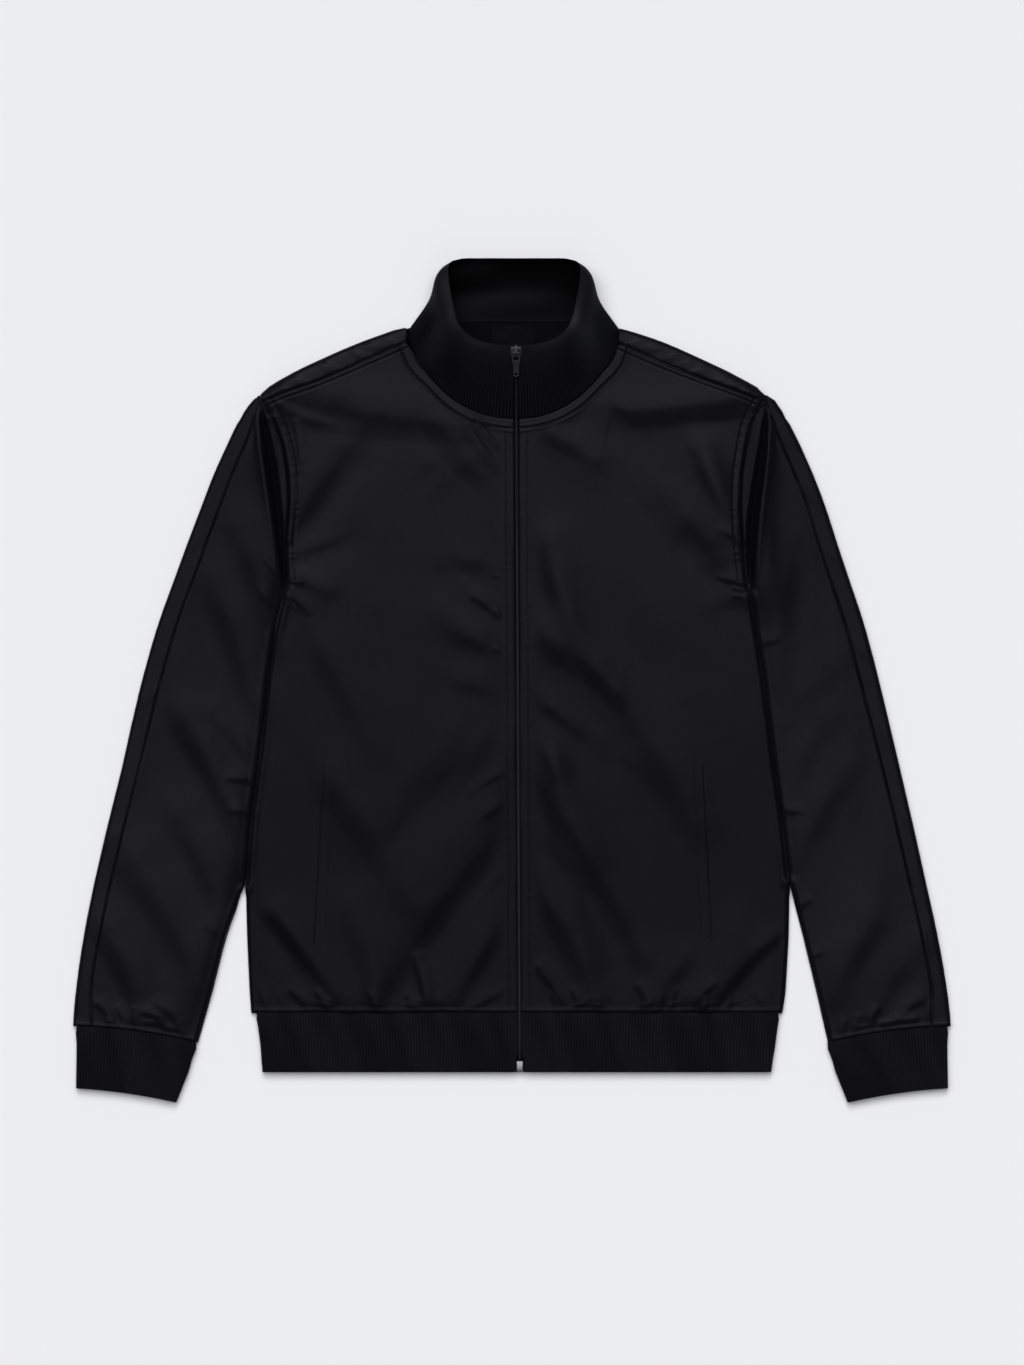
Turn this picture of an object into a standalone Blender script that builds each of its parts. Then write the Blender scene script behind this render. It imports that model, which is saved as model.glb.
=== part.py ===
"""Track jacket of satin-faced cloth with rib-knit collar, cuffs and hem band, laid flat on its back.

The back lies on the ground plane z = 0 with the hem towards -Y and the collar towards +Y. The zip is
closed up to the top of the collar, and the wearer's right arm lies at -X. The origin is the middle of the
jacket's outline, on the ground. Tables hold millimetres. A point is made in millimetres and turned to
metres when its mesh is built.
"""

import math
from collections import namedtuple

import bmesh
import bpy
from mathutils import Matrix, Vector
from mathutils.bvhtree import BVHTree

MM = 0.001

# Cloth and how closely pieces lie
WELD_DISTANCE = 0.01
SATIN_WALL = 1.2
RIB_WALL = 2.0
SEAM_GAP = 0.4
LAYER_GAP = 0.3
SIDE_GAP = 1.0
ARMHOLE_GAP = 0.8
SHOULDER_POINT_GAP = 1.6

# Heights of the cloth above the ground
HEM_HEIGHT = 7.0
BODY_HEIGHT = 6.6
SHOULDER_HEIGHT = 8.0
ARMHOLE_HEIGHT = 4.4
SIDE_SEAM_HEIGHT = 1.9
SLEEVE_RIDGE = 5.5
ROLL_RADIUS = 12.0
LOWEST_TROUGH = 3.6
SHOULDER_ROLL = 4.0
NECK_LIFT = 0.4
STRIP_LIFT = 0.2
STRIP_SWELL = 1.0
STRIP_WRINKLE = 0.8
STRIP_WRINKLES = 3.66

# Where the upper layer's height changes: the start of each change and how long it takes
Change = namedtuple("Change", "start run")
CHEST_RISE = Change(90.0, 150.0)
HEM_RISE = Change(-250.0, -55.0)
ARMHOLE_RISE = Change(78.0, 34.0)
SHOULDER_POINT_RISE = Change(222.0, 35.0)
SLEEVE_RIDGE_START = Change(60.0, 60.0)
SLEEVE_RIDGE_END = Change(262.0, -30.0)
SLEEVE_CALM_AT_CUFF = Change(-330.0, 16.0)
SLEEVE_RIDGE_IN = 17.0
SLEEVE_RIDGE_WIDTH = 13.0

# How far from a panel's edges its folds die out
CALM_AT_TOP = 16.0
CALM_AT_HEM = 9.0
CALM_AT_SIDE = 14.0
CALM_AT_PLACKET = 14.0
CALM_IN_SLEEVE = 12.0

# Places along the jacket, from its middle
HEM_SEAM = -309.0
HEM_EDGE = -364.0
UNDERARM = 93.0
SHOULDER_END = 259.0

# Zip
ZIP_TOP_ACROSS = 3.7
ZIP_FOOT_ACROSS = 7.3
ZIP_TAPE_WIDTH = 11.0
ZIP_TAPE_WALL = 0.7
ZIP_COIL_WIDTH = 1.3
ZIP_TAPE_DEPTH = 2.5
ZIP_TAPE_DEPTH_COLLAR = 3.3
ZIP_TAPE_DROP = Change(222.0, 14.0)
ZIP_COIL_APART = 0.2
ZIP_COIL_DEPTH = 0.4
ZIP_PLACES = (
    -352.5, -346.0, -330.0, -309.0, -280.0, -240.0, -190.0, -130.0, -70.0, -10.0, 50.0,
    100.0, 150.0, 200.0, 228.0, 238.0, 243.0, 252.0, 268.0, 283.0, 298.0, 303.5,
)
ZIP_TOP = 310.0
PLACKET_FLAT = 9.0

# Rib knit
RIB_RELIEF = 0.5
COLLAR_RIBS_PER_HALF = 80
COLLAR_INNER_STEP = 5
HEM_RIBS_PER_FRONT = 84
HEM_SQUEEZE = 16.0  # width beside the zip in which the ribs close up to clear the retainer box
HEM_COLUMNS_BACK = 12
CUFF_RIBS_PER_HALF = 20
BAND_INNER_STEP = 8
HEM_LEVELS = (-309.4, -337.0, -351.5, -364.0)
RIM_ANGLES = (90.0, 50.0, 18.0, -18.0, -50.0, -90.0)

# One station down the arm: how far out each arm's inner and outer edges lie, how far in from the outer
# edge the sleeve's front seam runs, and how much further up the outer edge's point is than the inner one
ArmRow = namedtuple("ArmRow", "along inner_right inner_left edge_right edge_left inset tilt")
ARM_ROWS = (
    ArmRow(259.0, 230.5, 232.0, 237.0, 240.0, 4.5, 7.0),
    ArmRow(241.0, 220.0, 222.0, 253.0, 255.0, 14.0, 3.0),
    ArmRow(219.0, 212.5, 217.0, 264.5, 267.5, 16.5, 0.0),
    ArmRow(192.0, 208.0, 213.0, 277.0, 279.5, 17.0, 0.0),
    ArmRow(164.0, 207.0, 212.0, 287.5, 290.5, 17.0, 0.0),
    ArmRow(126.0, 210.0, 214.0, 302.0, 302.5, 17.5, 0.0),
    ArmRow(93.0, 209.5, 217.5, 314.0, 313.5, 17.5, 0.0),
    ArmRow(55.0, 219.0, 224.0, 328.0, 326.5, 17.5, 0.0),
    ArmRow(18.0, 223.5, 231.0, 339.0, 336.5, 17.5, 0.0),
    ArmRow(-25.0, 229.0, 237.0, 350.0, 347.0, 17.0, 0.0),
    ArmRow(-80.0, 235.5, 242.0, 362.0, 360.0, 16.0, 0.0),
    ArmRow(-140.0, 243.5, 252.0, 377.0, 374.0, 15.5, 0.0),
    ArmRow(-190.0, 247.0, 257.5, 388.5, 385.0, 15.0, 0.0),
)
FOREARM_ROWS = (
    ArmRow(-236.0, 265.5, 270.5, 397.5, 395.0, 14.5, 2.0),
    ArmRow(-290.0, 279.0, 283.5, 405.0, 404.0, 14.0, 6.0),
    ArmRow(-336.0, 292.0, 294.0, 408.0, 408.0, 18.0, 15.0),
)
CUFF_SEAM_BOW = 3.5
SHOULDER_POINT_ROLL = 3.4
SLEEVE_FRONT_SHARES = (0.0, 0.006, 0.03, 0.08, 0.17, 0.3, 0.45, 0.6, 0.75, 0.88, 1.0)
SLEEVE_OVER_SHARES = (1.0, 0.5)
SLEEVE_UNDER_SHARES = (0.35, 0.7, 1.0)
ROLL_ANGLES = (-90.0, -45.0, 0.0, 45.0, 90.0)
NARROWEST_SLEEVE = 1.2
SLEEVE_ROLL_SHARE = 0.6
SEAM_PAST_ROLL = 0.4

# Body side below the sleeve, down to the hem band
SideRow = namedtuple("SideRow", "along right left")
LOWER_SIDE_ROWS = (
    SideRow(-236.0, 246.0, 257.0),
    SideRow(-290.0, 243.5, 254.0),
    SideRow(HEM_SEAM, 242.0, 251.0),
)
HEM_ROWS = (
    SideRow(HEM_SEAM, 239.0, 248.0),
    SideRow(-337.0, 234.0, 245.0),
    SideRow(HEM_EDGE, 232.0, 241.0),
)

# Half gap between the two edges of cloth beside the zip
GapRow = namedtuple("GapRow", "along half")
ZIP_GAPS = (
    GapRow(-365.0, 3.9),
    GapRow(-352.0, 3.7),
    GapRow(-346.0, 1.7),
    GapRow(-309.0, 1.4),
    GapRow(0.0, 1.9),
    GapRow(243.0, 3.0),
    GapRow(400.0, 3.2),
)

# Shoulder seams and the rolled edge of the shoulders, from the neck outwards
Spot = namedtuple("Spot", "out along")
SHOULDER_SEAM = {
    "right": (
        Spot(98.4, 314.0), Spot(129.0, 300.5), Spot(179.0, 279.0), Spot(215.0, 266.0), Spot(230.5, 259.0),
    ),
    "left": (
        Spot(98.4, 313.0), Spot(138.0, 295.5), Spot(177.0, 280.5), Spot(211.0, 268.0), Spot(232.0, 259.0),
    ),
}
SHOULDER_EDGE = {
    "right": (
        Spot(99.5, 329.0), Spot(147.0, 312.0), Spot(196.0, 290.0), Spot(226.0, 273.5), Spot(234.6, 267.2),
    ),
    "left": (
        Spot(102.4, 326.8), Spot(140.0, 315.0), Spot(197.0, 289.0), Spot(229.0, 272.0), Spot(237.2, 267.0),
    ),
}
SHOULDER_STEPS = 7
SHOULDER_LOOK = 0.04
BACK_NECK = (Spot(-60.0, 332.4), Spot(2.0, 332.6), Spot(64.0, 332.4))

# One column of a rib-knit band: share of its width in from the rim, height, rib's lift, and whether the
# plain inner wall has a column there too
BandSpot = namedtuple("BandSpot", "share up lift inner")

# Rings of the collar, each from the front's middle round to the back's middle
CollarSpot = namedtuple("CollarSpot", "out along up")
CollarRing = namedtuple("CollarRing", "share spots")
COLLAR_RINGS = (
    CollarRing(0.0, (
        CollarSpot(0.0, 243.0, 8.5), CollarSpot(29.0, 247.5, 8.8), CollarSpot(54.0, 259.5, 8.8),
        CollarSpot(76.0, 280.0, 8.6), CollarSpot(92.0, 303.0, 8.2), CollarSpot(98.0, 328.0, 4.5),
        CollarSpot(76.0, 333.5, 0.6), CollarSpot(40.0, 333.5, 0.4), CollarSpot(0.0, 333.5, 0.4),
    )),
    CollarRing(0.4, (
        CollarSpot(0.0, 268.0, 19.0), CollarSpot(26.0, 272.0, 19.5), CollarSpot(48.0, 283.0, 19.8),
        CollarSpot(66.0, 300.0, 19.5), CollarSpot(77.0, 324.0, 18.0), CollarSpot(79.5, 352.0, 11.5),
        CollarSpot(64.0, 358.0, 4.5), CollarSpot(36.0, 359.0, 3.0), CollarSpot(0.0, 359.0, 2.6),
    )),
    CollarRing(0.8, (
        CollarSpot(0.0, 298.0, 30.0), CollarSpot(22.0, 300.5, 30.5), CollarSpot(42.0, 308.0, 30.5),
        CollarSpot(57.0, 321.0, 30.0), CollarSpot(66.0, 343.0, 28.5), CollarSpot(73.0, 373.0, 20.0),
        CollarSpot(60.0, 384.0, 11.0), CollarSpot(34.0, 385.0, 8.5), CollarSpot(0.0, 385.0, 7.5),
    )),
    CollarRing(1.0, (
        CollarSpot(0.0, 310.0, 33.0), CollarSpot(18.0, 311.5, 33.0), CollarSpot(35.0, 316.0, 32.5),
        CollarSpot(50.0, 328.0, 32.0), CollarSpot(57.0, 350.0, 31.0), CollarSpot(61.0, 383.0, 24.5),
        CollarSpot(51.0, 391.0, 15.5), CollarSpot(30.0, 392.0, 13.0), CollarSpot(0.0, 392.0, 12.0),
    )),
)
COLLAR_MIDDLE = 2.0
COLLAR_ROWS = (0.0, 0.25, 0.5, 0.78, 1.0)
NECK_SEAM_END = 4.45
NECK_SEGMENTS = 8

# Columns of a front from the zip (0) to the side (1): along the neck, the shoulder and the side's roll
NECK_SHARE = 0.46
SHOULDER_SHARE = 0.955
SHOULDER_SEGMENTS = 10
SIDE_SHARES = (0.98, 0.992, 0.998, 1.0)
FRONT_PARTS = 2

# Folds of the cloth: a line on the jacket's plan, how wide the fold is and how far it rises (or falls)
Fold = namedtuple("Fold", "x0 y0 x1 y1 width rise")
BODY_FOLDS = (
    # wearer's right front
    Fold(-219.0, 263.0, -158.0, 248.0, 9.0, -2.0),
    Fold(-158.0, 248.0, -82.0, 236.0, 10.0, -1.8),
    Fold(-149.0, 206.0, -196.0, 134.0, 14.0, -2.6),
    Fold(-198.0, 113.0, -150.0, 130.0, 9.0, -1.8),
    Fold(-206.0, 96.0, -165.0, 80.0, 8.0, 2.6),
    Fold(-207.0, 79.0, -180.0, 44.0, 9.0, -2.2),
    Fold(-22.0, 232.0, -70.0, 196.0, 12.0, 2.0),
    Fold(-16.0, 63.0, -62.0, 104.0, 10.0, -2.0),
    Fold(-15.0, 27.0, -66.0, 66.0, 11.0, 2.4),
    Fold(-14.0, -12.0, -120.0, 30.0, 16.0, -2.2),
    Fold(-16.0, -35.0, -77.0, -105.0, 15.0, -2.8),
    Fold(-77.0, -105.0, -116.0, -158.0, 13.0, -2.4),
    Fold(-12.0, -70.0, -98.0, -170.0, 15.0, 3.2),
    Fold(-8.0, -137.0, -106.0, -279.0, 15.0, -3.0),
    Fold(-163.0, -105.0, -108.0, -210.0, 15.0, 2.6),
    Fold(-158.0, -217.0, -126.0, -306.0, 13.0, 2.4),
    Fold(-210.0, 10.0, -160.0, -70.0, 16.0, 2.0),
    Fold(-238.0, -210.0, -184.0, -300.0, 12.0, 3.4),
    Fold(-226.0, -232.0, -196.0, -300.0, 8.0, -2.6),
    Fold(-88.0, -262.0, -83.0, -305.0, 8.0, 2.2),
    Fold(-30.0, -215.0, -60.0, -300.0, 13.0, 2.0),
    # wearer's left front
    Fold(46.0, 239.0, 110.0, 238.0, 10.0, -2.0),
    Fold(110.0, 240.0, 217.0, 260.0, 10.0, 2.0),
    Fold(27.0, 232.0, 80.0, 204.0, 11.0, 2.2),
    Fold(150.0, 188.0, 171.0, 126.0, 14.0, -2.6),
    Fold(171.0, 126.0, 214.0, 92.0, 12.0, -2.6),
    Fold(173.0, 221.0, 202.0, 140.0, 12.0, 2.2),
    Fold(33.0, 130.0, 50.0, 50.0, 13.0, 2.4),
    Fold(26.0, 112.0, 70.0, 28.0, 13.0, -2.6),
    Fold(70.0, 28.0, 118.0, -32.0, 14.0, -2.6),
    Fold(26.0, 48.0, 100.0, -12.0, 12.0, 3.0),
    Fold(26.0, -18.0, 96.0, -66.0, 12.0, -2.2),
    Fold(26.0, -56.0, 70.0, -160.0, 15.0, 3.0),
    Fold(36.0, -100.0, 114.0, -242.0, 14.0, -2.8),
    Fold(28.0, -130.0, 52.0, -230.0, 12.0, 2.4),
    Fold(132.0, -20.0, 178.0, -120.0, 16.0, 2.2),
    Fold(207.0, -232.0, 172.0, -304.0, 13.0, 3.0),
    Fold(232.0, -240.0, 206.0, -300.0, 10.0, -2.2),
    Fold(60.0, -262.0, 70.0, -305.0, 10.0, 2.4),
    Fold(118.0, -262.0, 130.0, -305.0, 9.0, 2.0),
    Fold(36.0, -250.0, 44.0, -305.0, 8.0, -2.0),
)
SLEEVE_FOLDS = (
    # wearer's right sleeve
    Fold(-292.0, 80.0, -246.0, -62.0, 14.0, -2.4),
    Fold(-312.0, 10.0, -262.0, -140.0, 13.0, 2.2),
    Fold(-330.0, -50.0, -300.0, -150.0, 14.0, -1.8),
    Fold(-226.0, -48.0, -262.0, -58.0, 8.0, 2.4),
    Fold(-238.0, -100.0, -276.0, -112.0, 9.0, -2.2),
    Fold(-366.0, -170.0, -304.0, -312.0, 14.0, 2.6),
    Fold(-384.0, -230.0, -352.0, -318.0, 11.0, -2.2),
    Fold(-282.0, -240.0, -304.0, -322.0, 10.0, 2.0),
    # wearer's left sleeve
    Fold(276.0, 120.0, 262.0, -20.0, 14.0, -2.2),
    Fold(300.0, 70.0, 318.0, -90.0, 14.0, 2.2),
    Fold(232.0, 32.0, 262.0, 8.0, 8.0, 2.4),
    Fold(250.0, -118.0, 286.0, -130.0, 9.0, 2.2),
    Fold(276.0, -40.0, 322.0, -170.0, 14.0, -2.2),
    Fold(352.0, -150.0, 300.0, -300.0, 14.0, 2.6),
    Fold(384.0, -220.0, 346.0, -312.0, 11.0, -2.2),
    Fold(392.0, -260.0, 372.0, -318.0, 9.0, 2.0),
)

# Pockets: the slit's two ends, and the strip of cloth beside it
POCKET_SLIT = {
    "right": (Spot(175.0, -79.0), Spot(183.0, -244.0)),
    "left": (Spot(178.0, -80.0), Spot(185.0, -243.0)),
}
WELT_WIDTH = 7.5
WELT_WALL = 1.0
WELT_SEGMENTS = 14
WELT_LIFT = 0.5
WELT_DROP = 100.0

# Cuffs: corners of the flat tube
CuffEnds = namedtuple("CuffEnds", "edge_out edge_along inner_out inner_along bow")
CUFF_SEAM = CuffEnds(404.5, -322.0, 293.5, -337.5, 3.5)
CUFF_MIDDLE = CuffEnds(404.8, -350.5, 300.5, -363.5, 3.0)
CUFF_EDGE = CuffEnds(405.3, -379.0, 312.0, -392.3, 2.0)

# Neck label, zip slider, pull tab and retainer box
LABEL_SIZE = (40.0, 20.0, 0.6)
LABEL_MIDDLE = (1.0, 320.5)
SLIDER_WIDTH = 10.4
SLIDER_LENGTH = 9.6
SLIDER_PLATE = 1.2
SLIDER_TOP = 0.8
SLIDER_FOOT = -4.4
SLIDER_PLACE = 304.6
SLIDER_REACH = (-5.0, 4.0)
SLIDER_BEVEL = 0.35
DIVIDER_SIZE = (2.8, 2.2)
DIVIDER_ALONG = 3.2
BRIDGE_WIDTH = 2.2
BRIDGE_SPAN = 3.4
BRIDGE_BAR = 1.0
PIVOT = (0.0, -0.4, 3.6)
BRIDGE_ROOF = 1.5
TAB_LENGTH = 24.0
TAB_WIDTH = 7.8
TAB_WAIST = 5.6
TAB_WALL = 1.4
TAB_WINDOW = (3.8, 6.6)
TAB_HOLE = 1.3
TAB_CORNER = 1.0
TAB_TOP = 0.7
TAB_SHOULDER = (1.6, 5.0)
TAB_END_STEPS = 6
TAB_HOLE_STEPS = 10
BOX_SIZE = (6.6, 10.0, 3.4)
BOX_FROM_EDGE = 0.6
BOX_PROUD = 0.8
BOX_BEVEL = 0.6

# Colours and roughness
SATIN_COLOR = (0.013, 0.013, 0.016)
SATIN_ROUGHNESS = 0.42
RIB_COLOR = (0.006, 0.0055, 0.007)
RIB_ROUGHNESS = 0.85
TAPE_COLOR = (0.008, 0.008, 0.009)
TAPE_ROUGHNESS = 0.6
NICKEL_COLOR = (0.55, 0.55, 0.56)
NICKEL_ROUGHNESS = 0.3
LABEL_COLOR = (0.01, 0.01, 0.011)
LABEL_ROUGHNESS = 0.7

SIGN = {"right": -1.0, "left": 1.0}


# Shapes along tables ------------------------------------------------------------------------------


def smooth_between(spots, position):
    """Point on the smooth curve through a table's rows; position counts rows from 0."""
    last = len(spots) - 1
    index = min(int(position), last - 1)
    part = position - index
    before = Vector(spots[max(index - 1, 0)])
    start = Vector(spots[index])
    end = Vector(spots[index + 1])
    after = Vector(spots[min(index + 2, last)])
    leave = (end - before) * 0.5
    arrive = (after - start) * 0.5
    square = part * part
    cube = square * part
    return (
        start * (2.0 * cube - 3.0 * square + 1.0)
        + leave * (cube - 2.0 * square + part)
        + end * (3.0 * square - 2.0 * cube)
        + arrive * (cube - square)
    )


def straight_between(rows, column, along):
    """Value of a column at a place along the jacket, straight between the table's rows."""
    ordered = sorted(rows, key=lambda row: row.along)
    if along <= ordered[0].along:
        return getattr(ordered[0], column)
    for low, high in zip(ordered, ordered[1:]):
        if along <= high.along:
            part = (along - low.along) / (high.along - low.along)
            return getattr(low, column) * (1.0 - part) + getattr(high, column) * part
    return getattr(ordered[-1], column)


def eased(value):
    """Smooth step from 0 to 1 for a value that runs from 0 to 1."""
    value = max(0.0, min(1.0, value))
    return value * value * (3.0 - 2.0 * value)


def changed(change, along):
    """How far a change of height has gone at a place along the jacket, from 0 to 1."""
    return eased((along - change.start) / change.run)


def point_at_share(points, share):
    """Point at a share of the length of a chain of points."""
    lengths = [(b - a).length for a, b in zip(points, points[1:])]
    left = share * sum(lengths)
    for start, end, length in zip(points, points[1:], lengths):
        if left <= length:
            return start.lerp(end, left / length)
        left -= length
    return points[-1].copy()


# Heights of the upper layer -----------------------------------------------------------------------


def fold_rise(folds, x, y):
    """Sum of the folds' rises at a place: each one a soft ridge or trough that dies out at its ends."""
    total = 0.0
    for fold in folds:
        run_x = fold.x1 - fold.x0
        run_y = fold.y1 - fold.y0
        length = math.hypot(run_x, run_y)
        part = ((x - fold.x0) * run_x + (y - fold.y0) * run_y) / (length * length)
        aside = ((x - fold.x0) * run_y - (y - fold.y0) * run_x) / length
        ahead = max(0.0, -part, part - 1.0) * length
        nearness = (aside * aside + ahead * ahead) / (fold.width * fold.width)
        total += fold.rise * math.exp(-nearness)
    return total


def zip_across(y):
    """Where the zip's middle line runs, which leans a little to the wearer's left at the hem."""
    part = (y - HEM_EDGE) / (ZIP_TOP - HEM_EDGE)
    return ZIP_FOOT_ACROSS + (ZIP_TOP_ACROSS - ZIP_FOOT_ACROSS) * part


def base_height(y):
    """Height of the smoothed upper layer: lowest over the waist, rising to the hem and the shoulders."""
    height = BODY_HEIGHT + (SHOULDER_HEIGHT - BODY_HEIGHT) * changed(CHEST_RISE, y)
    return height + (HEM_HEIGHT - BODY_HEIGHT) * changed(HEM_RISE, y)


def seam_height(y):
    """Height of the cloth at the side seam and armhole, shared by the body and the sleeve."""
    height = SIDE_SEAM_HEIGHT + (ARMHOLE_HEIGHT - SIDE_SEAM_HEIGHT) * changed(ARMHOLE_RISE, y)
    return height + (SHOULDER_HEIGHT - ARMHOLE_HEIGHT) * changed(SHOULDER_POINT_RISE, y)


def rolled(edge_height, inner_height, distance, radius):
    """Height at a distance from a panel's edge, where the cloth rolls down to the edge."""
    part = 1.0 - max(0.0, min(1.0, distance / radius))
    return edge_height + (inner_height - edge_height) * math.sqrt(max(0.0, 1.0 - part * part))


# Meshes -------------------------------------------------------------------------------------------


def grid_mesh(rows):
    """Bmesh of a sheet through rows of points, each square cut along the same diagonal."""
    sheet = bmesh.new()
    made = [[sheet.verts.new(point * MM) for point in row] for row in rows]
    for low, high in zip(made, made[1:]):
        for index in range(len(low) - 1):
            sheet.faces.new((low[index], low[index + 1], high[index + 1]))
            sheet.faces.new((low[index], high[index + 1], high[index]))
    return sheet


def plain_material(name, color, roughness, metallic=0.0):
    """Principled material with one colour, roughness and metallic value."""
    material = bpy.data.materials.new(name)
    material.use_nodes = True
    shader = material.node_tree.nodes["Principled BSDF"]
    shader.inputs["Base Color"].default_value = (*color, 1.0)
    shader.inputs["Roughness"].default_value = roughness
    shader.inputs["Metallic"].default_value = metallic
    material.diffuse_color = (*color, 1.0)
    return material


def new_object(name, sheet, material, collection):
    """Object from a bmesh, in the jacket's collection."""
    mesh = bpy.data.meshes.new(name)
    sheet.to_mesh(mesh)
    sheet.free()
    mesh.materials.append(material)
    made = bpy.data.objects.new(name, mesh)
    collection.objects.link(made)
    return made


def add_sheet(name, sheet, material, collection, wall=SATIN_WALL):
    """Cloth piece: a sheet whose outer side faces out, thickened inwards to its wall."""
    made = new_object(name, sheet, material, collection)
    made.data.shade_smooth()
    solid = made.modifiers.new("Wall", "SOLIDIFY")
    solid.thickness = wall * MM
    solid.offset = -1.0
    return made


def add_ribbed_wall(name, outer, inner, inner_columns, closed, material, collection):
    """Wall between outer rings of many points and plain inner rings that use only some of their columns."""
    wall = bmesh.new()
    out = [[wall.verts.new(point * MM) for point in ring] for ring in outer]
    inn = [[wall.verts.new(point * MM) for point in ring] for ring in inner]
    count = len(outer[0])
    spans = list(zip(inner_columns, inner_columns[1:]))
    if closed:
        spans.append((inner_columns[-1], count))
    outer_steps = count if closed else count - 1
    for low, high in zip(out, out[1:]):
        for index in range(outer_steps):
            after = (index + 1) % count
            wall.faces.new((low[index], low[after], high[after], high[index]))
    for low, high in zip(inn, inn[1:]):
        for index in range(len(spans)):
            after = (index + 1) % len(inner_columns)
            wall.faces.new((low[index], high[index], high[after], low[after]))
    for ring_out, ring_in in ((out[0], inn[0]), (out[-1], inn[-1])):
        for index, (start, end) in enumerate(spans):
            near, far = ring_in[index], ring_in[(index + 1) % len(inner_columns)]
            middle = (start + end) // 2
            for column in range(start, end):
                across = near if column < middle else far
                wall.faces.new((ring_out[column], ring_out[(column + 1) % count], across))
            wall.faces.new((ring_out[middle], far, near))
    if not closed:
        for end in (0, -1):
            side_out = [ring[end] for ring in out]
            side_in = [ring[end] for ring in inn]
            for index in range(len(side_out) - 1):
                wall.faces.new((side_out[index], side_out[index + 1], side_in[index + 1], side_in[index]))
    bmesh.ops.triangulate(wall, faces=wall.faces[:])
    bmesh.ops.recalc_face_normals(wall, faces=wall.faces[:])
    return new_object(name, wall, material, collection)


def ring_normals(rings, closed):
    """Outward direction at each point of a stack of rings, from its neighbours."""
    normals = []
    count = len(rings[0])
    for row, ring in enumerate(rings):
        below = rings[max(row - 1, 0)]
        above = rings[min(row + 1, len(rings) - 1)]
        line = []
        for index in range(count):
            if closed:
                before, after = (index - 1) % count, (index + 1) % count
            else:
                before, after = max(index - 1, 0), min(index + 1, count - 1)
            round_the_ring = ring[after] - ring[before]
            up_the_ring = above[index] - below[index]
            line.append(round_the_ring.cross(up_the_ring).normalized())
        normals.append(line)
    return normals


# Body ---------------------------------------------------------------------------------------------


def side_out(side, along):
    """How far out the body's side and armhole lie, straight between the stations that the sleeve shares."""
    if along >= ARM_ROWS[-1].along:
        return straight_between(ARM_ROWS, "inner_" + side, along)
    joining = SideRow(ARM_ROWS[-1].along, ARM_ROWS[-1].inner_right, ARM_ROWS[-1].inner_left)
    return straight_between((joining,) + LOWER_SIDE_ROWS, side, along)


def side_stations(parts):
    """Places along the body's side, from the hem seam to the shoulder, with each stretch cut in parts."""
    stations = [row.along for row in reversed(ARM_ROWS + LOWER_SIDE_ROWS)]
    places = [stations[0]]
    for low, high in zip(stations, stations[1:]):
        for step in range(1, parts + 1):
            places.append(low + (high - low) * step / parts)
    return places


def collar_centre(position):
    """Middle of a collar ring: on the zip at the front, on the neck's middle further round."""
    return ZIP_TOP_ACROSS + (COLLAR_MIDDLE - ZIP_TOP_ACROSS) * eased(position / 2.0)


def neck_seam_positions():
    """Where the front's columns meet the neck seam, counted along the collar's base ring."""
    start = ZIP_GAPS[-2].half / COLLAR_RINGS[0].spots[1].out
    return [start + (NECK_SEAM_END - start) * step / NECK_SEGMENTS for step in range(NECK_SEGMENTS + 1)]


def neck_ring_spot(position):
    """Base ring of the collar, straight between the neck seam's stations and smooth beyond them."""
    spots = COLLAR_RINGS[0].spots
    stations = neck_seam_positions()
    if position >= stations[-1]:
        return smooth_between(spots, position)
    for low, high in zip(stations, stations[1:]):
        if position <= high:
            part = max(0.0, (position - low) / (high - low))
            return smooth_between(spots, low).lerp(smooth_between(spots, high), part)
    return smooth_between(spots, position)


def front_top_edge(side):
    """Neck seam and then shoulder seam, as plan points from the zip to the armhole."""
    sign = SIGN[side]
    neck = []
    positions = neck_seam_positions()
    for position in positions:
        spot = neck_ring_spot(position)
        ahead = smooth_between(COLLAR_RINGS[0].spots, position + 0.05)
        behind = smooth_between(COLLAR_RINGS[0].spots, max(position - 0.05, 0.0))
        run = Vector((ahead.x - behind.x, ahead.y - behind.y)).normalized()
        off = Vector((run.y, -run.x)) * SEAM_GAP
        neck.append(Vector((collar_centre(position) + sign * (spot.x + off.x), spot.y + off.y)))
    shoulder = [Vector((sign * spot.out, spot.along)) for spot in SHOULDER_SEAM[side]]
    return neck, shoulder


def front_columns():
    """Shares across a front from zip to side, for the neck's columns and for the rest."""
    neck = [NECK_SHARE * step / NECK_SEGMENTS for step in range(NECK_SEGMENTS)]
    stride = (SHOULDER_SHARE - NECK_SHARE) / SHOULDER_SEGMENTS
    shoulder = [NECK_SHARE + stride * step for step in range(SHOULDER_SEGMENTS + 1)]
    return neck, shoulder + list(SIDE_SHARES)


def front_zip_edge(side, along):
    """How far across a front's edge lies beside the zip."""
    return zip_across(along) + SIGN[side] * straight_between(ZIP_GAPS, "half", along)


def front_height(plan, to_side, to_top, to_hem, to_zip, edge):
    """Height of a front at a plan point, from how far that is from each of its edges."""
    calm = eased(to_top / CALM_AT_TOP) * eased(to_hem / CALM_AT_HEM) * eased(to_side / CALM_AT_SIDE)
    calm *= eased((to_zip - PLACKET_FLAT) / CALM_AT_PLACKET)
    height = base_height(plan.y) + calm * fold_rise(BODY_FOLDS, plan.x, plan.y)
    height = max(height, LOWEST_TROUGH)
    height += (SHOULDER_HEIGHT + NECK_LIFT - height) * eased(1.0 - to_top / CALM_AT_SIDE)
    return rolled(edge, height, to_side, ROLL_RADIUS)


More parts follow.
